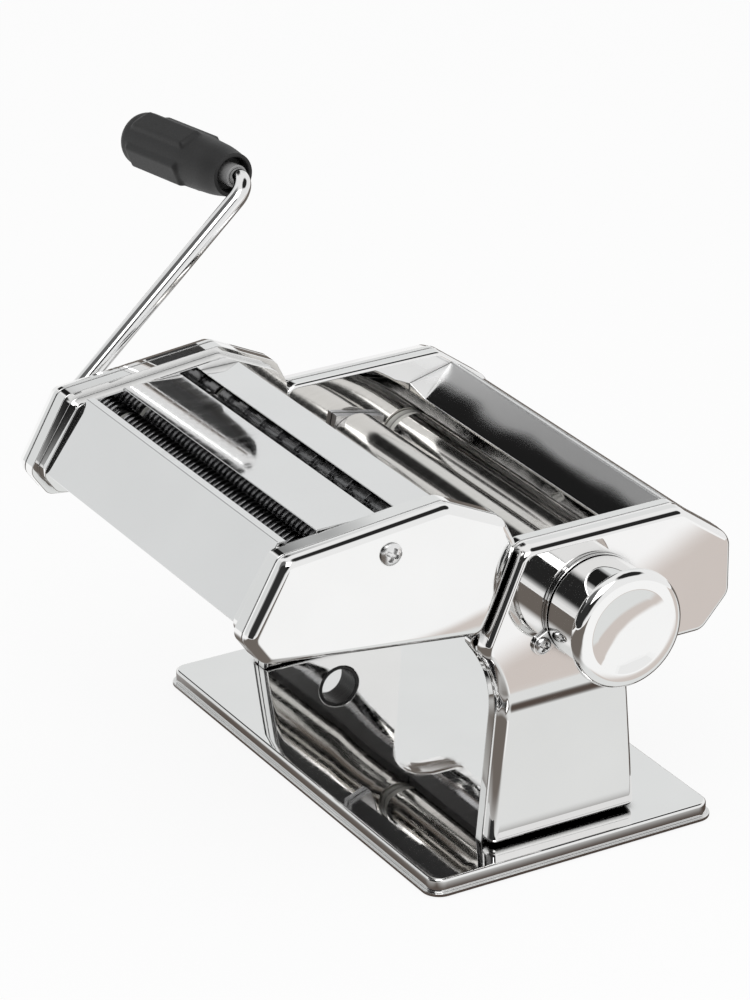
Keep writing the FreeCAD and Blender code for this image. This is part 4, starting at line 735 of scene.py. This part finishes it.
def glowing(sheet, colour):
    glow = sheet.add("ShaderNodeEmission", {}, {"Color": colour, "Strength": 1.0})
    sheet.add("ShaderNodeOutputMaterial", {}, {"Surface": glow})


def makeFloor():
    material, sheet, place = newFinish("paleFloor")
    tone = noise(sheet, place, stageForm["grain"]).tint(*stageForm["tones"])
    plain = sheet.add("ShaderNodeBsdfDiffuse", {}, {"Color": tone})
    surface = whiteMix(sheet, plain, stageForm["floorWhite"])
    sheet.add("ShaderNodeOutputMaterial", {}, {"Surface": surface})
    putOnStage("floor", square(stageForm["reach"], 0), [(0, 1, 2, 3)], material)


def makeLight():
    world = bpy.data.worlds.new("studio")
    bpy.context.scene.world = world
    world.use_nodes = True
    world.node_tree.nodes.clear()
    sheet = Wire(world.node_tree)
    soft = sheet.add("ShaderNodeBackground", {}, {"Color": grey(1.0), "Strength": stageForm["world"]})
    sheet.add("ShaderNodeOutputWorld", {}, {"Surface": whiteMix(sheet, soft, 1.0)})
    lamp = bpy.data.lights.new("keyLight", "AREA")
    lamp.energy = stageForm["lamp"]
    lamp.size = stageForm["lampSize"]
    key = bpy.data.objects.new("keyLight", lamp)
    bpy.context.scene.collection.objects.link(key)
    key.location = stageForm["lampPlace"]
    key.rotation_euler = (-key.location).to_track_quat("-Z", "Y").to_euler()


# A wide glowing tent that only mirrors see, which paints reflections: pale all round, with dark and grey
# patches aimed at the faces that should mirror them
tentForm = {
    "reach": 4.0, "around": 48, "up": 16, "low": -0.02, "smoke": 6.0, "smokeShare": 0.06,
    "pale": grey(0.90),
    "patches": [  # towards, full within and none beyond so many degrees, colour
        ((-0.78, -0.557, 0.283), 14, 26, (0.74, 0.75, 0.75, 1)),
        ((-0.78, 0.466, 0.417), 12, 20, (0.78, 0.79, 0.79, 1)),
        ((-0.78, 0.08, 0.62), 8, 17, grey(0.012)),
        ((0.66, -0.52, 0.54), 18, 28, grey(0.02)),
        ((0.15, 0.47, 0.87), 17, 24, grey(0.02)),
        ((-0.08, -0.74, 0.66), 22, 34, grey(0.14)),
        ((0.25, -0.93, 0.25), 26, 34, grey(0.03)),
    ],
}


def makeTent():
    material, sheet, place = newFinish("studioTent")
    way = sheet.add("ShaderNodeVectorMath", {"operation": "NORMALIZE"}, {0: place})
    x, y, z = way.axes()
    smoke = noise(sheet, way, tentForm["smoke"], detail=3.0) - 0.5
    colour = tentForm["pale"]
    # painted reflections: each patch darkens the glow in one direction, so chrome that faces it shows a dark
    # or grey band
    for toward, inner, outer, shade in tentForm["patches"]:
        unit = np.array(toward) / np.linalg.norm(toward)
        facing = x * unit[0] + y * unit[1] + z * unit[2] + smoke * tentForm["smokeShare"]
        edge = [math.cos(math.radians(angle)) for angle in (outer, inner)]
        colour = facing.step(*edge).tint(colour, shade)
    glowing(sheet, colour)
    around, up, reach = tentForm["around"], tentForm["up"], tentForm["reach"]
    turn = np.linspace(0, 2 * math.pi, around, endpoint=False)
    lift = np.linspace(tentForm["low"], math.pi / 2, up)[:, None]
    # half a ball: the ring at each height is as wide as the cosine of its angle
    dome = [np.cos(lift) * np.cos(turn), np.cos(lift) * np.sin(turn), np.sin(lift) + 0 * turn]
    verts = (reach * np.stack(dome, -1)).reshape(-1, 3).tolist()
    putOnStage("tent", verts, ringFaces(up, around).tolist(), material, True)


# A glowing floor that only mirrors see, with painted shadow and painted reflections: dark brown beside the
# base, grey and taupe further out, dark in front and behind
floorForm = {
    "half": (102.0, 61.5), "lift": 0.3, "reach": 1500.0,
    "smoke": 9.0, "smokeWide": 40.0, "taupeSmoke": 0.2, "whiteSmoke": 0.4,
    "near": (0.09, 0.07, 0.06, 1), "pale": (0.78, 0.79, 0.785, 1), "taupe": (0.66, 0.60, 0.565, 1),
    "white": grey(1.0), "dark": (0.16, 0.14, 0.125, 1),
    "paintedShadowEdge": (2, 14), "taupeEdge": (198, 212), "whiteEdge": (196, 216), "whiteSlant": 0.45,
    "frontEdge": (40, 110), "leftEdge": (60, 200), "backEdge": (95, 140), "backEnd": (40, 110),
}


def makeMirroredFloor():
    form = floorForm
    material, sheet, place = newFinish("mirroredFloor")
    x, y = [axis * (1 / mm) for axis in place.axes()[:2]]
    front = y * -1.0
    smoke = (noise(sheet, place, form["smoke"]) - 0.5) * form["smokeWide"]
    outside = x.reckon("MAXIMUM", x - form["half"][0], front - form["half"][1])
    # painted shadow: dark brown within a few millimetres of the base, where mirrors would show the floor's
    # contact shadow
    colour = outside.step(*form["paintedShadowEdge"]).tint(form["near"], form["pale"])
    # painted reflections: grey, taupe, white and dark zones stand for what mirrors would see around the base
    colour = (x + smoke * form["taupeSmoke"]).step(*form["taupeEdge"]).tint(colour, form["taupe"])
    beyond = x - y * form["whiteSlant"] + smoke * form["whiteSmoke"]
    colour = beyond.step(*form["whiteEdge"]).tint(colour, form["white"])
    colour = (front + smoke).step(*form["frontEdge"]).tint(colour, form["dark"])
    colour = (x * -1.0 + smoke).step(*form["leftEdge"]).tint(colour, form["white"])
    behind = (y + smoke).step(*form["backEdge"]) * (1 - x.step(*form["backEnd"]))
    glowing(sheet, behind.tint(colour, form["dark"]))
    corners = square(form["reach"] * mm, form["lift"] * mm)
    putOnStage("mirroredFloor", corners, [(0, 1, 2, 3)], material, True)


placeCamera()
makeFloor()
makeMirroredFloor()
makeTent()
makeLight()
bpy.context.scene.view_settings.view_transform = "Standard"
print("stage set")
